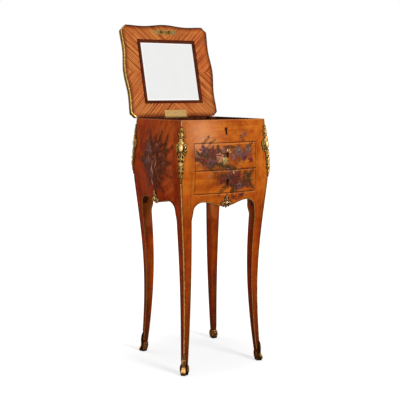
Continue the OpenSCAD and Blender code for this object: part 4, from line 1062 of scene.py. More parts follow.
def apron_relief(relief):
    """The apron mount: a bud over a shell between two scrolls."""
    r = relief
    r.scroll([(0, 14), (0, 34)], 12.0, 1.0)
    r.leaf(0, 24, 0, 1, 4.4, 5.4, 4)
    r.leaf(1.5, 24, 8.0, 11, 3.2, 4.4, 4)
    r.leaf(3, 30, 15.5, 20, 3.2, 4.2, 3)
    r.leaf(5, 34, 19.8, 25, 3.6, 4.6, 4)
    r.scroll([(3, 28), (9, 25.5), (14, 28), (14.5, 33), (10.5, 35)], 3.4, 5.0, 0.25)
    r.dome(0, 27, 4.6, 6.6, 7.0)
    r.leaf(0, 31, 0, 43, 5.4, 5.6, 4)
    r.leaf(3, 33, 11, 40, 3.4, 4.4, 3)


# Height over the wood where cast pieces start, and the least rise of a relief in millimetres
CAST_FOOT = 0.35 * MM
LEAST_RISE = 0.3
# Rises in millimetres that are dull and that are rubbed bright
DULL_RISE = 1.6
BRIGHT_RISE = 6.0


def solid_relief(draw, place, half, long, step):
    """A closed cast relief: its points, faces and how far each point is rubbed.

    place(x, y, lift) gives the points of the pattern's places."""
    across = np.linspace(-half, half, 2 * round(half / step) + 1)
    down = np.linspace(0, long, round(long / step) + 1)
    x, y = np.meshgrid(across, down)
    relief = Relief(x, y)
    draw(relief)
    keep, x, y = relief.snapped(x, y)
    outer = place(x, y, np.maximum(relief.high, LEAST_RISE) * MM + CAST_FOOT)[::-1]
    inner = place(x, y, np.zeros_like(x) + CAST_FOOT)[::-1]
    points, faces, spot = thick_sheet(outer, inner, keep[::-1])
    rub = np.clip((relief.high - DULL_RISE) / (BRIGHT_RISE - DULL_RISE), 0, 1)[::-1]
    return points, faces, rub.ravel()[spot]


# Each lamp's name, its place, its width and the level that holds its power
LAMPS = (
    ("key_lamp", (0.75, -2.8, 1.35), 1.0, "key"),
    ("rim_lamp", (-1.2, 1.7, 1.9), 2.0, "rim"),
    ("side_lamp", (-2.6, -1.5, 0.95), 0.7, "side"),
)
LAMP_AIM = Vector((0, 0, 0.5))
FLOOR_HALF = 6.0
SENSOR_WIDTH = 36


class SIDETABLE_OT_stage(bpy.types.Operator):
    """Sets the floor, the lamps, the pale surroundings and the camera"""

    bl_idname = "side_table.stage"
    bl_label = "Set the stage"

    def execute(self, context):
        levels = context.scene.table_stage
        context.scene.view_settings.view_transform = "Standard"
        self.surroundings(context, levels)
        self.floor(context)
        for name, spot, width, level in LAMPS:
            self.lamp(context, name, spot, width, getattr(levels, level))
        self.camera(context, levels)
        return {"FINISHED"}

    @staticmethod
    def seen(tree):
        """1 for rays from the camera, from gloss and through glass."""
        path = tree.nodes.new("ShaderNodeLightPath")
        total = path.outputs["Is Camera Ray"]
        for name in ("Is Glossy Ray", "Is Transmission Ray"):
            node = tree.nodes.new("ShaderNodeMath")
            node.operation = "MAXIMUM"
            tree.links.new(total, node.inputs[0])
            tree.links.new(path.outputs[name], node.inputs[1])
            total = node.outputs[0]
        return total

    def surroundings(self, context, levels):
        world = bpy.data.worlds.new("surroundings")
        world.use_nodes = True
        context.scene.world = world
        tree = world.node_tree
        fill = tree.nodes["Background"]
        fill.inputs["Color"].default_value = (1.0, 0.985, 0.96, 1)
        fill.inputs["Strength"].default_value = levels.fill
        white = tree.nodes.new("ShaderNodeBackground")
        white.inputs["Color"].default_value = (1, 1, 1, 1)
        both = tree.nodes.new("ShaderNodeMixShader")
        tree.links.new(self.seen(tree), both.inputs[0])
        tree.links.new(fill.outputs[0], both.inputs[1])
        tree.links.new(white.outputs[0], both.inputs[2])
        tree.links.new(both.outputs[0], tree.nodes["World Output"].inputs["Surface"])

    def floor(self, context):
        half = FLOOR_HALF
        corners = [(-half, -half, 0), (half, -half, 0), (half, half, 0), (-half, half, 0)]
        mesh = bpy.data.meshes.new("floor")
        mesh.from_pydata(corners, [], [(0, 1, 2, 3)])
        floor = bpy.data.objects.new("floor", mesh)
        context.scene.collection.objects.link(floor)
        r = Recipe("pale_floor", Roughness=0.9, Specular_IOR_Level=0.0)
        r.set(r.shader, {"Base Color": (0.42, 0.42, 0.42, 1)})
        seen_floor = r.add("BsdfDiffuse", {"Color": (0.62, 0.62, 0.628, 1)})
        # For camera rays the floor glows less near the table than farther out: a painted grey shadow pool
        # round its feet, white beyond
        away = r.add("VectorMath", {"Vector": r.place()}, operation="LENGTH").outputs["Value"]
        strength = r.plus(r.span(away, 0.14, 0.3, 0.575, 0.72), r.span(away, 0.3, 1.1, 0.0, 0.24))
        glow = r.add("Emission", {"Color": (1, 1, 1, 1), "Strength": strength})
        lit = r.add("AddShader", {})
        both = r.add("MixShader", {})
        links = r.tree.links
        links.new(seen_floor.outputs[0], lit.inputs[0])
        links.new(glow.outputs[0], lit.inputs[1])
        links.new(self.seen(r.tree), both.inputs[0])
        links.new(r.shader.outputs[0], both.inputs[1])
        links.new(lit.outputs[0], both.inputs[2])
        links.new(both.outputs[0], r.tree.nodes["Material Output"].inputs["Surface"])
        mesh.materials.append(r.material)

    def lamp(self, context, name, spot, width, energy):
        light = bpy.data.lights.new(name, "AREA")
        light.shape = "DISK"
        light.size = width
        light.energy = energy
        lamp = bpy.data.objects.new(name, light)
        lamp.location = spot
        lamp.rotation_euler = (LAMP_AIM - Vector(spot)).to_track_quat("-Z", "Y").to_euler()
        context.scene.collection.objects.link(lamp)

    def camera(self, context, levels):
        a, p = levels.azimuth, levels.pitch
        back = Vector((math.sin(a) * math.cos(p), -math.cos(a) * math.cos(p), math.sin(p)))
        right = Vector((math.cos(a), math.sin(a), 0))
        up = back.cross(right)
        c, s = math.cos(levels.roll), math.sin(levels.roll)
        right, up = right * c + up * s, up * c - right * s
        spot = Vector((levels.target_x, 0, levels.target_z)) + back * levels.distance
        turn = Matrix((right, up, back)).transposed().to_4x4()
        data = bpy.data.cameras.new("camera")
        data.lens = levels.lens
        data.sensor_width = SENSOR_WIDTH
        camera = bpy.data.objects.new("camera", data)
        camera.matrix_world = Matrix.Translation(spot) @ turn
        context.scene.collection.objects.link(camera)
        context.scene.camera = camera


KEYHOLE_R = 3.1 * MM
KEYHOLE_SLOT = 3.2 * MM
# Each keyhole's height at its round top, and the length of its slot
FRIEZE_KEYHOLE = (RIM_Z - 26 * MM, 14.8 * MM)
UPPER_KEYHOLE = (630 * MM, 11 * MM)
LOWER_KEYHOLE = (554 * MM, 11 * MM)
# Distance that the stored places of one face lie from those of the next
FACE_GAP = 0.7
# Spacing of the points of the sides and of the back, in steps of the painted front's
SIDE_STEP = 1.3
BACK_STEP = 5

Panel = namedtuple("Panel", "name body face half low high keyhole")


def keyhole_room(u, z, keyhole):
    """Signed distance outside a keyhole."""
    top, run = keyhole
    round_top = np.hypot(u, z - top) - KEYHOLE_R
    slot = np.maximum(np.abs(u) - KEYHOLE_SLOT / 2, np.abs(z - (top - run / 2)) - run / 2)
    return np.minimum(round_top, slot)


def soft_line(away, width):
    """Cover of a soft line at a distance away from its middle."""
    return np.exp(-((away / width) ** 2))


class SIDETABLE_OT_veneers(bpy.types.Operator):
    """Lays the veneers over the case and the drawer fronts, with their painted sprays"""

    bl_idname = "side_table.veneers"
    bl_label = "Lay the veneers"

    def execute(self, context):
        case = Case(context.scene.table_case)
        f = context.scene.table_finishes
        satin = satin_veneer("satinwood", f, 0)
        side = side_veneer("side_veneer", f)
        plain = side_veneer("back_veneer", f, painted=False)
        upper = [spot.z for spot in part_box("upper_drawer_front")]
        lower = [spot.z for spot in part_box("lower_drawer_front")]
        wide = OPENING_HALF
        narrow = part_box("upper_drawer_front")[1].x
        panels = (
            Panel("frieze_veneer", "case", FRONT, wide, FRIEZE_Z, RIM_Z, FRIEZE_KEYHOLE),
            Panel("upper_drawer_veneer", "upper_drawer", FRONT, narrow, *upper, UPPER_KEYHOLE),
            Panel("lower_drawer_veneer", "lower_drawer", FRONT, narrow, *lower, LOWER_KEYHOLE),
            Panel("apron_veneer", "case", FRONT, wide, None, APRON_Z, None),
            Panel("right_veneer", "case", RIGHT, wide, None, RIM_Z, None),
            Panel("left_veneer", "case", LEFT, wide, None, RIM_Z, None),
            Panel("back_veneer", "case", BACK, wide, None, RIM_Z, None),
        )
        finishes = {
            FRONT: (satin, "satinwood_veneer", 1),
            RIGHT: (side, "side_veneer", SIDE_STEP),
            LEFT: (side, "side_veneer", SIDE_STEP),
            BACK: (plain, "side_veneer", BACK_STEP),
        }
        for panel in panels:
            self.lay(case, f, panel, *finishes[panel.face])
        return {"FINISHED"}

    def lay(self, case, f, panel, material, slot, coarseness):
        step = coarseness * f.paint_grain
        across = np.linspace(-panel.half, panel.half, round(2 * panel.half / step) + 1)
        level = panel.low is not None
        foot = np.full_like(across, panel.low) if level else case.apron_edge(panel.face, across)
        rows = round((panel.high - foot.min()) / step) + 1
        u = np.broadcast_to(across, (rows, len(across))).copy()
        z = mix(foot[None], panel.high, np.linspace(0, 1, rows)[:, None])
        keep = None
        if panel.keyhole:
            u, z, keep = self.pierced(u, z, panel.keyhole)
        outer = case.surface(panel.face, u, z, case.shape.veneer)
        inner = case.surface(panel.face, u, z)
        points, faces, spot = thick_sheet(outer, inner, keep)
        mesh = new_mesh(panel.name, points, faces, 40)
        u, z = u.ravel()[spot], z.ravel()[spot]
        put_vectors(mesh, "place", np.stack([u, np.full_like(u, panel.face * FACE_GAP), z], -1))
        if panel.face != BACK:
            canvas = Canvas(u, z, f.seed + panel.face)
            (paint_front if panel.face == FRONT else paint_side)(canvas)
            self.age(canvas, panel)
            put_colours(mesh, "paint", canvas.rgba)
        add_piece(panel.name, mesh, panel.body, [material])

    @staticmethod
    def pierced(u, z, keyhole):
        """The grid with a keyhole left out and its edge points drawn onto the keyhole."""
        d = keyhole_room(u, z, keyhole)
        keep, edge = squares(d, hole=True)
        dz, du = np.gradient(d)
        dz, du = dz / np.gradient(z, axis=0), du / np.gradient(u, axis=1)
        pull = np.where(edge, -d / np.maximum(du**2 + dz**2, LEAST_SLOPE), 0)
        return u + pull * du, z + pull * dz, keep

    @staticmethod
    def age(canvas, panel):
        """Dark lines along the joints, pale edges beside them, worn and with a painted highlight, and dark
        edges round the keyholes.
        """
        c = canvas
        drawer = panel.body != "case"
        lines = soft_line(panel.half / MM - np.abs(c.u), 1.1) if drawer else np.zeros_like(c.u)
        worn = 0.9 * soft_line(RIM_Z / MM - c.z, 2.4)
        if panel.face == FRONT:
            frieze = panel.high > RIM_Z - MM
            to_head = panel.high / MM - c.z
            to_foot = to_head if panel.low is None else np.abs(c.z - panel.low / MM)
            to_joint = to_foot if frieze else np.minimum(to_head, to_foot)
            lines = np.maximum(lines, soft_line(to_joint, 1.2))
            worn = soft_line(to_head, 1.2) if frieze else soft_line(to_head - 3.0, 0.9)
        if panel.keyhole:
            room = keyhole_room(c.u * MM, c.z * MM, panel.keyhole) / MM
            lines = np.maximum(lines, soft_line(np.maximum(room, 0), 2.0))
        ragged = 0.7 + 0.3 * np.sin(c.u * 0.9) * np.sin(c.u * 0.37 + 1)
        # Pale lines along the rim and the drawers' heads: worn veneer and painted highlight
        c.shade(0.55 * worn * ragged, (236, 160, 96))
        c.shade(0.94 * lines * (0.86 + 0.14 * ragged), (26, 9, 3))


LEG_ACROSS = 8
LEG_ROWS = 180
INNER_CHAMFER = 1.5 * MM
# Drop from the apron's arch, in millimetres, above which a leg's inner edges get no painted shade
ARCH_CLEAR = 24


def leg_ring(case, corner, z, grow=0.0, inside=0.0, across=LEG_ACROSS):
    """Rings round a leg at heights z, anticlockwise from above, each with across steps on a face."""
    z = np.atleast_1d(z)[:, None]
    grow = np.broadcast_to(grow, (len(z), 2 * across + 4))
    inside = np.broadcast_to(inside, grow.shape)
    a = case.leg_inner(z)
    b = case.corner_out(z) - case.shape.corner_cant
    u = mix(a, b, np.linspace(0, 1, across + 1)[None])
    v = -case.face_out(corner, u, z) - grow[:, 1:across + 2]
    w = case.face_out((corner + 1) % 4, u[:, ::-1], z) + grow[:, across + 2:-1]
    x = np.concatenate([a - inside[:, :1], u, w, a + INNER_CHAMFER], 1)
    y = np.concatenate([-a - INNER_CHAMFER, v, -u[:, ::-1], -a + inside[:, -1:]], 1)
    x[:, 1] -= inside[:, 1]
    y[:, -2] += inside[:, -2]
    return turned(np.stack([x, y, np.broadcast_to(z, x.shape)], -1), corner)


class SIDETABLE_OT_legs(bpy.types.Operator):
    """Makes the four long curved legs that run up as the corner posts"""

    bl_idname = "side_table.legs"
    bl_label = "Make the legs"

    def execute(self, context):
        case = Case(context.scene.table_case)
        f = context.scene.table_finishes
        levels = np.linspace(SOLE_Z, RIM_Z, LEG_ROWS)
        materials = [
            satin_veneer("leg_satinwood", f, 2),
            side_veneer("leg_side_veneer", f),
            plain_wood("post_wood", f.case_wood, 2),
        ]
        grow = np.zeros((1, 2 * LEG_ACROSS + 4))
        grow[0, 1:-1] = case.shape.veneer
        for corner, name in enumerate(CORNERS):
            mesh = new_mesh(f"leg_{name}", *loft(leg_ring(case, corner, levels, grow)), 30)
            place = self.unfolded(case, corner, levels)
            put_vectors(mesh, "place", place)
            canvas = Canvas(place[:, 0], place[:, 2], f.seed)
            self.painted_shading(case, canvas)
            # Painted highlight: the glare of reflected light carried onto the front faces of the post
            painted_glare(canvas, np.isclose(place[:, 1], 0))
            put_colours(mesh, "paint", canvas.rgba)
            add_piece(f"{name}_leg", mesh, "case", materials, [f"leg_{name}"])
            centres = np.array([(*p.center, *p.normal) for p in mesh.polygons])
            mesh.polygons.foreach_set("material_index", self.finishes(case, centres))
        return {"FINISHED"}

    @staticmethod
    def painted_shading(case, canvas):
        """Painted shade and light: darker towards the feet, painted shade beside the strips and along the
        inner edges, and painted light on the inner faces high up, under the arches.

        The rim has a pale line of worn veneer and painted highlight."""
        c, z = canvas, canvas.z * MM
        room = np.abs(c.u) - case.leg_inner(z) / MM
        to_strip = (case.corner_out(z) - case.shape.corner_cant) / MM - np.abs(c.u)
        c.shade(0.85 * np.clip((300 - c.z) / 300, 0, 1) ** 1.2, (58, 16, 4))
        free = np.clip((case.arc_z / MM - ARCH_CLEAR - c.z) / 40, 0, 1)
        # Painted shade along the inner edges below the arch
        c.shade(0.5 * free * soft_line(room, 2.4), (44, 14, 5))
        # Painted light on the inner faces high up, which the case shades
        c.shade(0.9 * np.clip(-room / 4, 0, 1) * np.clip((c.z - 400) / 40, 0, 1), (236, 128, 60))
        # Painted shade in the groove beside each strip
        c.shade(0.55 * soft_line(np.maximum(to_strip, 0), 2.2), (50, 16, 4))
        # Pale line at the rim: worn veneer and painted highlight
        c.shade(0.3 * soft_line(RIM_Z / MM - c.z, 1.4), (236, 160, 96))

    @staticmethod
    def unfolded(case, corner, z):
        """Each point's place along its face, so that the veneers' figure runs on over the legs."""
        z = z[:, None]
        a, b = case.leg_inner(z), case.corner_out(z) - case.shape.corner_cant
        u = mix(a, b, np.linspace(0, 1, LEG_ACROSS + 1)[None])
        deep = case.face_out(corner, a, z) - a - INNER_CHAMFER
        run = np.concatenate([a - deep, u, -u[:, ::-1], deep - a], 1)
        half = run.shape[1] // 2
        face = np.repeat([corner, (corner + 1) % 4], half) * FACE_GAP
        places = [run, np.broadcast_to(face, run.shape), np.broadcast_to(z, run.shape)]
        return np.stack(places, -1).reshape(-1, 3)

    @staticmethod
    def finishes(case, polygons):
        """Satinwood for what looks forward, side veneer for the rest, plain wood inside the case."""
        x, y, z, nx, ny, nz = polygons.T
        inside = (z > case.shoulder_z) & (nx * x + ny * y < 0)
        return np.where(inside | (nz > 0.9), 2, np.where(ny < -0.5, 0, 1)).astype(np.int32)


class SIDETABLE_OT_carcass(bpy.types.Operator):
    """Finishes the boards of the case, the drawer linings, the locks and the bolts"""

    bl_idname = "side_table.carcass"
    bl_label = "Finish the carcass"

    def execute(self, context):
        f = context.scene.table_finishes
        upright = plain_wood("case_wood_upright", f.case_wood, 2)
        level = plain_wood("case_wood_level", f.case_wood, 0)
        dress(upright, "right_side", "left_side", "back_panel")
        dress(level, "frieze_rail", "front_apron", "well_floor", "drawer_rail", "bottom_board")
        oak_back = plain_wood("oak_lining_long", f.lining, 1)
        oak_across = plain_wood("oak_lining_across", f.lining, 0)
        dress(oak_back, "upper_runners", "lower_runners")
        steel = metal("lock_steel", f.steel, scaled(f.steel, 0.35), 0.4)
        brass = metal("bolt_brass", f.brass, f.gilt_dull, 0.3)
        for drawer in ("upper", "lower"):
            dress(level, f"{drawer}_drawer_front")
            dress(oak_back, f"{drawer}_drawer_left", f"{drawer}_drawer_right")
            dress(oak_across, f"{drawer}_drawer_back", f"{drawer}_drawer_bottom")
            dress(steel, f"{drawer}_lock")
            dress(brass, f"{drawer}_bolt")
        dress(brass, "lid_bolt")
        return {"FINISHED"}


# Steps along each edge of the lid, the faces of the brass edge's section that are given dark wood as
# painted shade where the lip is wide, and the gap between the board and the brass edge
LID_STEPS = 48
LIP_FACES = 6
EDGE_SEAT = 0.1 * MM
# Section of the lid's brass edge from its foot outwards and up: the share of the moulding's
# thickness, the share of the lid's, and how far the edge is rubbed bright there, which also lays painted
# highlights along its beads and painted shade in its groove
EDGE_SECTION = (
    (0, 0, 0.3), (0.3, 0, 1), (0.8, 0.015, 1), (0.97, 0.05, 1), (1, 0.1, 1), (0.95, 0.16, 0.7),
    (0.8, 0.21, 0.1), (0.6, 0.25, 0), (0.6, 0.4, 0), (0.8, 0.46, 0.1), (0.94, 0.54, 0.3),
    (1, 0.65, 0.5), (0.97, 0.76, 0.5), (0.88, 0.86, 0.3), (0.7, 0.94, 0.1), (0.45, 1, 0), (0, 1, 0),
)
# Section of the dark strips on the board's back edge and their two runs, in millimetres
BANDING_SECTION = ((0, 0.3), (0.9, 0.3), (1.3, 0.8), (1.3, 17), (0.9, 17.6), (0, 17.6))
BANDING_RUNS = ((-125, -40), (40, 125))
BANDING_STEPS = 12
FRAME_STEPS = 8
# The glass runs into the frame's rebate, and its bevel stands clear of the frame. Its faces from
# the ninth to the twelfth, counted from nought, are the bevel
GLASS_REBATE = 3 * MM
GLASS_GAP = 0.15 * MM
BEVEL_FACES = slice(9, 13)


def lid_outline(shape, back):
    """Points of the lid's edge from the back right round the front, with their outward directions."""
    front = HINGE_Y - LID_REACH + shape.moulding
    side = np.linspace(1, -1, LID_STEPS + 1)
    wave = shape.crown * np.cos(np.pi / 2 * side) ** 2 - shape.dip * np.sin(np.pi * side) ** 2
    run = (back - front) / 2 - shape.corner_cut
    middle = (back + front) / 2
    half = shape.half - shape.corner_cut
    right = np.stack([shape.half + wave, middle + side * run], -1)
    across = np.stack([side * half, front - wave], -1)
    left = np.stack([-shape.half - wave, middle - side * run], -1)
    path = np.concatenate([[(half, back)], right, across, left, [(-half, back)]])
    step = np.diff(path, axis=0)
    step /= np.linalg.norm(step, axis=1)[:, None]
    normal = np.stack([-step[:, 1], step[:, 0]], -1)
    both = normal[:-1] + normal[1:]
    both /= np.linalg.norm(both, axis=1)[:, None]
    both /= np.sum(both * normal[:-1], axis=1)[:, None]
    ends = np.array([[math.sqrt(2), 0], [-math.sqrt(2), 0]])
    return path, np.concatenate([ends[:1], both, ends[1:]])


class SIDETABLE_OT_lid(bpy.types.Operator):
    """Finishes the lid's board and makes its brass edge and the mirror in its frame"""

    bl_idname = "side_table.lid"
    bl_label = "Make the lid"

    def execute(self, context):
        shape = context.scene.table_lid
        back = context.scene.table_case.rim_half
        f = context.scene.table_finishes
        dress(striped_veneer("striped_veneer", f.stripe_light, f.stripe_dark), "lid_board")
        self.moulding(shape, f, back)
        self.banding(f, back)
        self.frame(shape, f)
        self.glass(shape)
        dress(plain_wood("mirror_back", f.lining, 0), "mirror_backing")
        return {"FINISHED"}

    def moulding(self, shape, f, back):
        """The brass edge. Its inner faces are dark wood as painted shade, narrow along the left and wide
        elsewhere.
        """
        path, normal = lid_outline(shape, back)
        rings = []
        for out, up, _ in EDGE_SECTION:
            spots = path + normal * (out * shape.moulding + EDGE_SEAT)
            rings.append(np.column_stack([spots, np.full(len(path), LID_FOOT + up * shape.thick)]))
        points, faces = loft(opened(np.stack(rings, 1)[::-1]))
        mesh = new_mesh("lid_edge", points, faces, 50)
        gilt = metal("edge_gilt", f.edge, f.gilt_dull, 0.26, 0.001, 0.5)
        # Dark wood on the brass edge's inner faces: painted shade
        lip = plain_wood("edge_lip", f.lip, 0)
        add_piece("lid_edge", mesh, "lid", [gilt, lip], ["lid_moulding"])
        put_rub_and_sheen(mesh, np.tile([rub for _, _, rub in EDGE_SECTION], len(path)))
        for polygon in mesh.polygons:
            ring, face = divmod(polygon.index, len(EDGE_SECTION))
            if len(polygon.vertices) == 4 and face < (1 if ring < LID_STEPS + 2 else LIP_FACES):
                polygon.material_index = 1

    def banding(self, f, back):
        """Thin dark strips over the board's back edge on both sides of the hinge: painted shade that fills
        the gap there.
        """
        parts = []
        for low, high in BANDING_RUNS:
            x = np.linspace(low, high, BANDING_STEPS) * MM
            rings = [
                np.stack([x, np.full_like(x, back + out * MM), np.full_like(x, LID_FOOT + up * MM)], -1)
                for out, up in BANDING_SECTION
            ]
            parts.append(loft(opened(np.stack(rings, 1))))
        # Dark strips that stand for the shadow in the gap at the lid's back edge: painted shade
        wood = plain_wood("banding_wood", f.lip, 0)
        add_piece("lid_banding", new_mesh("lid_banding", *merged(parts), 40), "lid", [wood])

    @staticmethod
    def corners(shape, inset):
        """Corners of a rectangle drawn in from the mirror frame's outer edge, anticlockwise."""
        far = HINGE_Y - shape.frame_near - shape.frame_length + inset
        near = HINGE_Y - shape.frame_near - inset
        half = shape.frame_half - inset
        return np.array([(-half, far), (half, far), (half, near), (-half, near)])

    def frame(self, shape, f):
        """The mirror's moulding: a round outer edge, a small step and a hollow towards the glass."""
        profile = [(0, 0), (0, 0.5)]
        profile += [(0.14 - 0.14 * math.cos(a), 0.55 + 0.3 * math.sin(a)) for a in np.linspace(0.2, 2.2, 6)]
        profile += [(0.34, 0.84), (0.4, 1.0), (0.52, 1.0), (0.58, 0.84)]
        profile += [(0.58 + 0.42 * t, 0.84 - 0.5 * t**1.8) for t in np.linspace(0.15, 1, 6)]
        profile += [(1, 0)]
        rings = []
        for i in range(4):
            for share in np.linspace(0, 1, FRAME_STEPS + 1)[:-1]:
                spots = []
                for across, high in profile:
                    c = self.corners(shape, across * shape.frame_side)
                    spots.append((*mix(c[i], c[(i + 1) % 4], share), LID_FOOT - high * shape.frame_proud))
                rings.append(spots)
        rings = opened(np.array(rings))
        rows, row = rings.shape[:2]
        spot = np.arange(rows * row).reshape(rows, row)
        ahead = np.roll(spot, -1, axis=0)
        side = np.roll(spot, -1, axis=1)
        faces = np.stack([spot, side, np.roll(ahead, -1, axis=1), ahead], -1).reshape(-1, 4)
        mesh = new_mesh("mirror_moulding", rings.reshape(-1, 3), faces, 40)
        wood = plain_wood("frame_wood", f.moulding_wood, 0, gloss=0.28)
        add_piece("mirror_moulding", mesh, "lid", [wood], ["mirror_frame"])

    def glass(self, shape):
        """The mirror, its bevel ground a little towards the board."""
        rebate = shape.frame_side - GLASS_REBATE
        inner = shape.frame_side + GLASS_GAP
        levels = (
            (rebate, LID_FOOT + GLASS_REBATE), (rebate, LID_FOOT), (inner, LID_FOOT),
            (inner + shape.bevel, LID_FOOT - shape.bevel_depth),
        )
        points = [(*p, z) for inset, z in levels for p in self.corners(shape, inset)]
        faces = [(0, 1, 2, 3)]
        for i in range(len(levels) - 1):
            for j in range(4):
                k = (j + 1) % 4
                faces.append((4 * i + j, 4 * i + 4 + j, 4 * i + 4 + k, 4 * i + k))
        faces.append((15, 14, 13, 12))
        mesh = new_mesh("bevelled_mirror", opened(np.array(points)), faces, 0.5)
        # The bevel is a brighter copy of the silvered glass: painted highlight along the mirror's edge
        face, edge = mirror_face("silvered_glass", 0.862), mirror_face("glass_bevel", 0.97)
        add_piece("bevelled_mirror", mesh, "lid", [face, edge], ["mirror_glass"])
        for polygon in list(mesh.polygons)[BEVEL_FACES]:
            polygon.material_index = 1


# Half widths of the mounts' patterns and the spacing of their points
CORNER_PATTERN = (24 * MM, 0.75 * MM)
APRON_PATTERN = (20 * MM, 0.6 * MM)
# Height over the wood where strips and beads start, and the steps along them
SKIN = 0.3 * MM
ROW_STEP = 5 * MM
# Points across a strip, and where it ends under the rim
STRIP_POINTS = 9
STRIP_END = 0.5 * MM
# Points across a bead, its start above the shoe and its end beside the apron mount
BEAD_POINTS = 7
BEAD_LIFT = 9 * MM
BEAD_STOP = 17 * MM


def crest(count):
    """Shares from 0 at the edges of a section to 1 at its middle."""
    return 1 - np.abs(np.linspace(-1, 1, count))


def add_gilt(name, mesh_name, points, faces, rub, gilt, node):
    """Adds a rubbed metal piece that takes a node's place on the case."""
    mesh = new_mesh(mesh_name, points, faces, 60)
    put_rub_and_sheen(mesh, rub)
    add_piece(name, mesh, "case", [gilt], [node])


class SIDETABLE_OT_corner_mounts(bpy.types.Operator):
    """Casts the corner mounts and draws the gilt strips above and below them"""

    bl_idname = "side_table.corner_mounts"
    bl_label = "Cast the corner mounts"

    def execute(self, context):
        case = Case(context.scene.table_case)
        shape = context.scene.table_mounts
        f = context.scene.table_finishes
        gilt = metal("mount_gilt", f.gilt, f.gilt_dull, 0.34, 0.004, 0.32)
        strip_gilt = metal("strip_gilt", f.strip, f.strip_dull, 0.42, 0.004, 0.36)
        head = RIM_Z - shape.chute_start
        half, step = CORNER_PATTERN
        for corner, name in enumerate(CORNERS):
            def place(x, y, lift, corner=corner):
                return case.corner(corner, x, head - y, lift * shape.chute_relief)

            cast = solid_relief(chute_relief, place, half, shape.chute_length, step)
            add_gilt(f"corner_mount_{name}", f"mount_{name}", *cast, gilt, f"chute_{name}")
            self.strips(case, shape, corner, name, strip_gilt, head)
        return {"FINISHED"}

    def strips(self, case, shape, corner, name, gilt, head):
        profile = [(x / 2, math.sqrt(1 - x * x)) for x in np.linspace(-1, 1, STRIP_POINTS)]
        spans = (
            (shape.shoe_leaf + MM, head - shape.chute_length - MM),
            (head + MM, RIM_Z - STRIP_END),
        )
        parts = []
        for low, high in spans:
            z = np.linspace(low, high, max(3, round((high - low) / ROW_STEP)))
            out = case.corner_out(z) - case.shape.corner_cant / 2 + SKIN
            rings = []
            for across, lift in profile[::-1]:
                a = across * shape.strip_width / math.sqrt(2)
                b = lift * shape.strip_relief / math.sqrt(2)
                rings.append(np.stack([out + b + a, a - out - b, z], -1))
            parts.append(loft(turned(np.stack(rings, 1)[:, ::-1], corner)))
        points, faces = merged(parts)
        # Bright along the crest and dull at the sides: worn gilding, with a painted highlight on the crest
        # and painted shade on the sides
        rub = np.tile(np.clip(2.4 * crest(STRIP_POINTS) - 0.8, 0, 1), len(points) // STRIP_POINTS)
        add_gilt(f"corner_strip_{name}", f"strip_{name}", points, faces, rub, gilt, f"strip_{name}")


class SIDETABLE_OT_apron_mounts(bpy.types.Operator):
    """Casts the apron mounts and draws the beads round the aprons and down the legs"""

    bl_idname = "side_table.apron_mounts"
    bl_label = "Cast the apron mounts"

    def execute(self, context):
        case = Case(context.scene.table_case)
        shape = context.scene.table_mounts
        f = context.scene.table_finishes
        gilt = metal("apron_gilt", between(f.gilt, f.strip, 0.4), f.strip_dull, 0.3, 0.004, 0.32)
        tones = scaled(f.strip, 0.62), scaled(f.strip_dull, 0.7)
        bead_gilt = metal("bead_gilt", *tones, 0.42, 0.004, 0.4)
        half, step = APRON_PATTERN
        for face, name in ((FRONT, "front"), (RIGHT, "right"), (LEFT, "left")):
            head = case.shoulder_z - case.drops[face] - shape.spray_hang + shape.spray_height

            def place(x, y, lift, face=face, head=head):
                return case.surface(face, x, head - y, lift)

            cast = solid_relief(apron_relief, place, half, shape.spray_height, step)
            add_gilt(f"apron_mount_{name}", f"spray_{name}", *cast, gilt, f"mount_{name}")
            self.bead(case, shape, face, name, bead_gilt, BEAD_STOP)
        self.bead(case, shape, BACK, "back", bead_gilt, 0)
        return {"FINISHED"}

    def bead(self, case, shape, face, name, gilt, stop):
        """A bead up each leg and along the apron, which ends at the distance stop from the middle."""
        s = case.shape
        z = np.arange(shape.shoe_height + BEAD_LIFT, case.arc_z, ROW_STEP)
        leg = np.stack([case.leg_inner(z), z], -1)
        a = np.linspace(0, np.pi / 2, 16)
        run = OPENING_HALF - s.shoulder_half
        arc = np.stack([s.shoulder_half + run * np.cos(a), case.arc_z + s.arc_rise * np.sin(a)], -1)
        u = np.linspace(s.shoulder_half, stop, 24)[1:]
        path = np.concatenate([leg, arc, np.stack([u, case.apron_edge(face, u)], -1)])
        step = np.gradient(path, axis=0)
        step /= np.linalg.norm(step, axis=1)[:, None]
        normal = np.stack([-step[:, 1], step[:, 0]], -1)
        parts = []
        for side in (1, -1):
            rings = []
            for across in np.linspace(-1, 1, BEAD_POINTS):
                p = path + normal * shape.bead_width * (across / 2 - 0.5)
                lift = SKIN + shape.bead_relief * math.sqrt(1 - across**2)
                rings.append(case.surface(face, side * p[:, 0], p[:, 1], lift))
            rings = np.stack(rings if side > 0 else rings[::-1], 1)
            parts.append(loft(rings[:, ::-1]))
        points, faces = merged(parts)
        # Bright along the crest and dull at the sides: worn gilding, with a painted highlight on the crest
        # and painted shade on the sides
        rub = np.tile(np.clip(1.6 * crest(BEAD_POINTS) - 0.4, 0, 1), len(points) // BEAD_POINTS)
        add_gilt(f"apron_bead_{name}", f"bead_{name}", points, faces, rub, gilt, f"bead_{name}")


SHOE_ACROSS = 20
SHOE_ROWS = 64
LINING_ROWS = 6
LEAST_WALL = 0.5 * MM
# Heights and how far the shoe stands out there, in millimetres, at its nose and at its sides
SHOE_NOSE = (
    (0, 5.0), (2, 7.4), (5, 9.2), (8, 8.8), (13, 6.4), (19, 3.9), (25, 3.9), (33, 5.2), (42, 5.8),
    (50, 4.6), (62, 1.6),
)
SHOE_SIDE = ((0, 0.7), (2, 1.8), (6, 2.2), (12, 3.2), (17, 3.0), (23, 2.2), (29, 1.6), (62, 1.0))


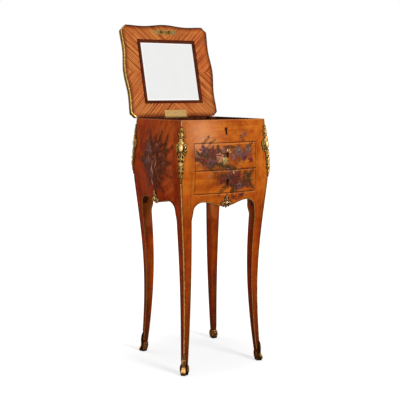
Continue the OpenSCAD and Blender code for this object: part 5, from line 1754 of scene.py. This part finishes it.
class SIDETABLE_OT_shoes(bpy.types.Operator):
    """Casts the four shoes, each a curled toe under a leaf that climbs the corner"""

    bl_idname = "side_table.shoes"
    bl_label = "Cast the shoes"

    def execute(self, context):
        case = Case(context.scene.table_case)
        shape = context.scene.table_mounts
        f = context.scene.table_finishes
        bronze = metal("shoe_bronze", f.bronze, f.bronze_dull, 0.3, 0.004, 0.58)
        count = 2 * SHOE_ACROSS + 4
        steps = np.abs(np.arange(count) - (count - 1) / 2) - 0.5
        toe = np.clip(1 - steps / SHOE_ACROSS, 0, 1)[None]
        top, grow, share, rub = self.form(shape, toe)
        lining_z = mix(SOLE_Z, top, np.linspace(0, 1, LINING_ROWS)[:, None])
        lining_grow = np.full(lining_z.shape, CAST_FOOT)
        rub = np.concatenate([rub.ravel(), np.zeros(lining_z.size)])
        faces = self.faces(count)
        for corner, name in enumerate(CORNERS):
            outer = self.shell(case, corner, share * top, grow)
            inner = self.shell(case, corner, lining_z, lining_grow)
            points = np.concatenate([outer.reshape(-1, 3), inner.reshape(-1, 3)])
            add_gilt(f"shoe_{name}", f"shoe_{name}", points, faces, rub, bronze, f"sabot_{name}")
        return {"FINISHED"}

    @staticmethod
    def faces(count):
        """Faces of the shoe's outside, of its lining, of the rim between them and of both ends."""
        start = SHOE_ROWS * count
        faces = ring_faces(SHOE_ROWS, count).tolist()
        faces += ring_faces(LINING_ROWS, count, start, True).tolist()
        ring = np.arange(count)
        ahead = (ring + 1) % count
        outer = start - count
        inner = start + (LINING_ROWS - 1) * count
        faces += np.stack([outer + ring, outer + ahead, inner + ahead, inner + ring], 1).tolist()
        faces.append(ring[::-1].tolist())
        faces.append((start + ring).tolist())
        return faces

    @staticmethod
    def form(shape, toe):
        """Each column's top, the wall's thickness, the rows' shares of the height and the rub, which holds
        painted highlights.

        toe is 1 at the nose and 0 at the leg's inner corner."""
        lobes = 1 - 0.12 * np.abs(np.sin(3.5 * np.pi * toe)) * (1 - toe**6)
        top = mix(shape.shoe_height, shape.shoe_leaf, toe**1.6) * lobes
        t = np.linspace(0, 1, SHOE_ROWS)[:, None]
        h = t * top / MM
        nose = np.interp(h, *zip(*SHOE_NOSE))
        side = np.interp(h, *zip(*SHOE_SIDE))
        veins = 0.4 * np.cos(2 * np.pi * (h / 5 - 3 * toe)) * np.clip((h - 14) / 8, 0, 1)
        ribs = 0.5 * np.cos(8 * np.pi * toe) * np.clip((h - 8) / 8, 0, 1)
        grow = (mix(side, nose, toe**2.6) + veins + ribs) * MM
        wall = CAST_FOOT + (grow - CAST_FOOT) * np.sqrt(np.clip((1 - t) * 9, 0, 1))
        # Painted highlights: a bright spot on the nose, a fainter one higher up, and a glint on each side,
        # over dull bronze
        at_nose = np.clip(3 * toe - 2, 0, 1)
        lit = 0.14 + 1.1 * soft_line(h - 17, 6) * at_nose
        lit = lit + 0.2 * soft_line(h - 42, 6) * at_nose
        lit = lit + 0.45 * soft_line(toe - 0.3, 0.1) * soft_line(h - 20, 9)
        rub = np.clip(lit * np.clip((h - 3) / 9, 0.05, 1), 0, 1)
        return top, np.maximum(wall, LEAST_WALL), t, rub

    @staticmethod
    def shell(case, corner, z, grow):
        """Rings whose points each have their own height and their own distance from the leg."""
        columns = []
        for j in range(z.shape[1]):
            out = grow[:, j][:, None]
            columns.append(leg_ring(case, corner, z[:, j], out, out, SHOE_ACROSS)[:, j])
        return np.stack(columns, 1)


# A screw head's rings, height, slot and root, all as shares of its radius
HEAD_RINGS = np.array([0.02, 0.12, 0.2, 0.4, 0.7, 0.92, 1.0])
HEAD_SIDES = 24
HEAD_HIGH = 0.12
SLOT_HALF = 0.16
SLOT_FLOOR = 0.02
HEAD_ROOT = 0.2
# Places of the screws from the middle and from the hinge
HINGE_SCREWS = (-28 * MM, 0, 28 * MM)
CATCH_SCREWS = (-33 * MM, 33 * MM)
LOCK_SCREWS = (-34.5 * MM, 34.5 * MM)
LID_LEAF_SCREWS = 14 * MM
CASE_LEAF_SCREWS = 8.2 * MM
LOCK_MARGIN = 4 * MM
HINGE_SCREW_R = 2.4 * MM
SCREW_R = 2.0 * MM


def screw_head(spot, side, up, radius):
    """A slotted screw head: its points and faces. side and up are directions in its face."""
    spot, side, up = (np.array(v, float) for v in (spot, side, up))
    out = np.cross(side, up)
    ring = np.linspace(0, 2 * np.pi, HEAD_SIDES, endpoint=False)
    share = HEAD_RINGS[:, None]
    x = share * np.cos(ring)[None] * radius
    y = share * np.sin(ring)[None] * radius
    high = HEAD_HIGH * radius * np.sqrt(np.clip(1.05 - share**2, 0, 1)) + np.zeros_like(x)
    high = np.where(np.abs(y) < SLOT_HALF * radius, SLOT_FLOOR * radius, high)
    rings = spot + x[..., None] * side + y[..., None] * up + high[..., None] * out
    foot = spot + x[-1:, :, None] * side + y[-1:, :, None] * up - HEAD_ROOT * radius * out
    return loft(np.concatenate([foot, rings[::-1]]))


class SIDETABLE_OT_fittings(bpy.types.Operator):
    """Finishes the hinge, the catch plate and the locks, and sets their screws"""

    bl_idname = "side_table.fittings"
    bl_label = "Fit the hinge and locks"

    def execute(self, context):
        f = context.scene.table_finishes
        brass = metal("hinge_brass", scaled(f.brass, 0.78), scaled(f.brass, 0.4), 0.46, 0.0015)
        tones = scaled(between(f.brass, f.gilt_dull, 0.5), 0.74), scaled(f.gilt_dull, 0.7)
        aged = metal("catch_brass", *tones, 0.42, 0.0008)
        steel = metal("screw_steel", f.steel, scaled(f.steel, 0.3), 0.32)
        dress(brass, "lid_hinge_leaf", "case_hinge_leaf")
        dress(aged, "catch_plate", "lid_lock")
        dress(steel, "hinge_pin")
        hinge = opened(np.array([(x, HINGE_Y - LID_LEAF_SCREWS, LID_FOOT) for x in HINGE_SCREWS]))
        catch = opened(np.array([(x, CATCH_Y, LID_FOOT) for x in CATCH_SCREWS]))
        lid_face = (-1, 0, 0), (0, math.cos(LID_OPEN), -math.sin(LID_OPEN))
        self.screws("hinge_screws", "lid", hinge, *lid_face, HINGE_SCREW_R, brass, "plain_brass")
        self.screws("catch_screws", "lid", catch, *lid_face, SCREW_R, steel, "lock_steel")
        rim = [(x, HINGE_Y - CASE_LEAF_SCREWS, RIM_Z) for x in HINGE_SCREWS]
        rim += [(x, CATCH_Y, RIM_Z) for x in LOCK_SCREWS]
        self.screws("rim_screws", "case", rim, (1, 0, 0), (0, 1, 0), SCREW_R, brass, "plain_brass")
        lock_face = (-1, 0, 0), (0, 0, 1)
        for drawer in ("upper", "lower"):
            low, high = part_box(f"{drawer}_lock")
            spots = [
                (x, high.y, z)
                for x in (low.x + LOCK_MARGIN, high.x - LOCK_MARGIN)
                for z in (low.z + LOCK_MARGIN, high.z - LOCK_MARGIN)
            ]
            name, body = f"{drawer}_lock_screws", f"{drawer}_drawer"
            self.screws(name, body, spots, *lock_face, SCREW_R, steel, "lock_steel")
        return {"FINISHED"}

    def screws(self, name, body, spots, side, up, radius, material, slot):
        points, faces = merged([screw_head(spot, side, up, radius) for spot in spots])
        add_piece(name, new_mesh(name, points, faces, 40), body, [material])


class SIDETABLE_PT_panel(bpy.types.Panel):
    """Lists the table's making in order"""

    bl_label = "Side Table"
    bl_idname = "SIDETABLE_PT_panel"
    bl_space_type = "VIEW_3D"
    bl_region_type = "UI"
    bl_category = "Side Table"

    def draw(self, context):
        for operator in OPERATORS:
            self.layout.operator(operator.bl_idname)
        for group in GROUPS:
            box = self.layout.box()
            for key in GROUPS[group].__annotations__:
                box.prop(getattr(context.scene, group), key)


GROUPS = {
    "table_case": CaseShape,
    "table_lid": LidShape,
    "table_mounts": MountShape,
    "table_finishes": Finishes,
    "table_stage": StageLevels,
}
OPERATORS = (
    SIDETABLE_OT_stage,
    SIDETABLE_OT_veneers,
    SIDETABLE_OT_legs,
    SIDETABLE_OT_carcass,
    SIDETABLE_OT_lid,
    SIDETABLE_OT_corner_mounts,
    SIDETABLE_OT_apron_mounts,
    SIDETABLE_OT_shoes,
    SIDETABLE_OT_fittings,
)


def register():
    for made in (*GROUPS.values(), *OPERATORS, SIDETABLE_PT_panel):
        bpy.utils.register_class(made)
    for name, group in GROUPS.items():
        setattr(bpy.types.Scene, name, PointerProperty(type=group))


def unregister():
    for name in GROUPS:
        delattr(bpy.types.Scene, name)
    for made in (SIDETABLE_PT_panel, *reversed(OPERATORS), *reversed(GROUPS.values())):
        bpy.utils.unregister_class(made)


def main():
    register()
    for operator in OPERATORS:
        category, name = operator.bl_idname.split(".")
        getattr(getattr(bpy.ops, category), name)()


if __name__ == "__main__":
    main()
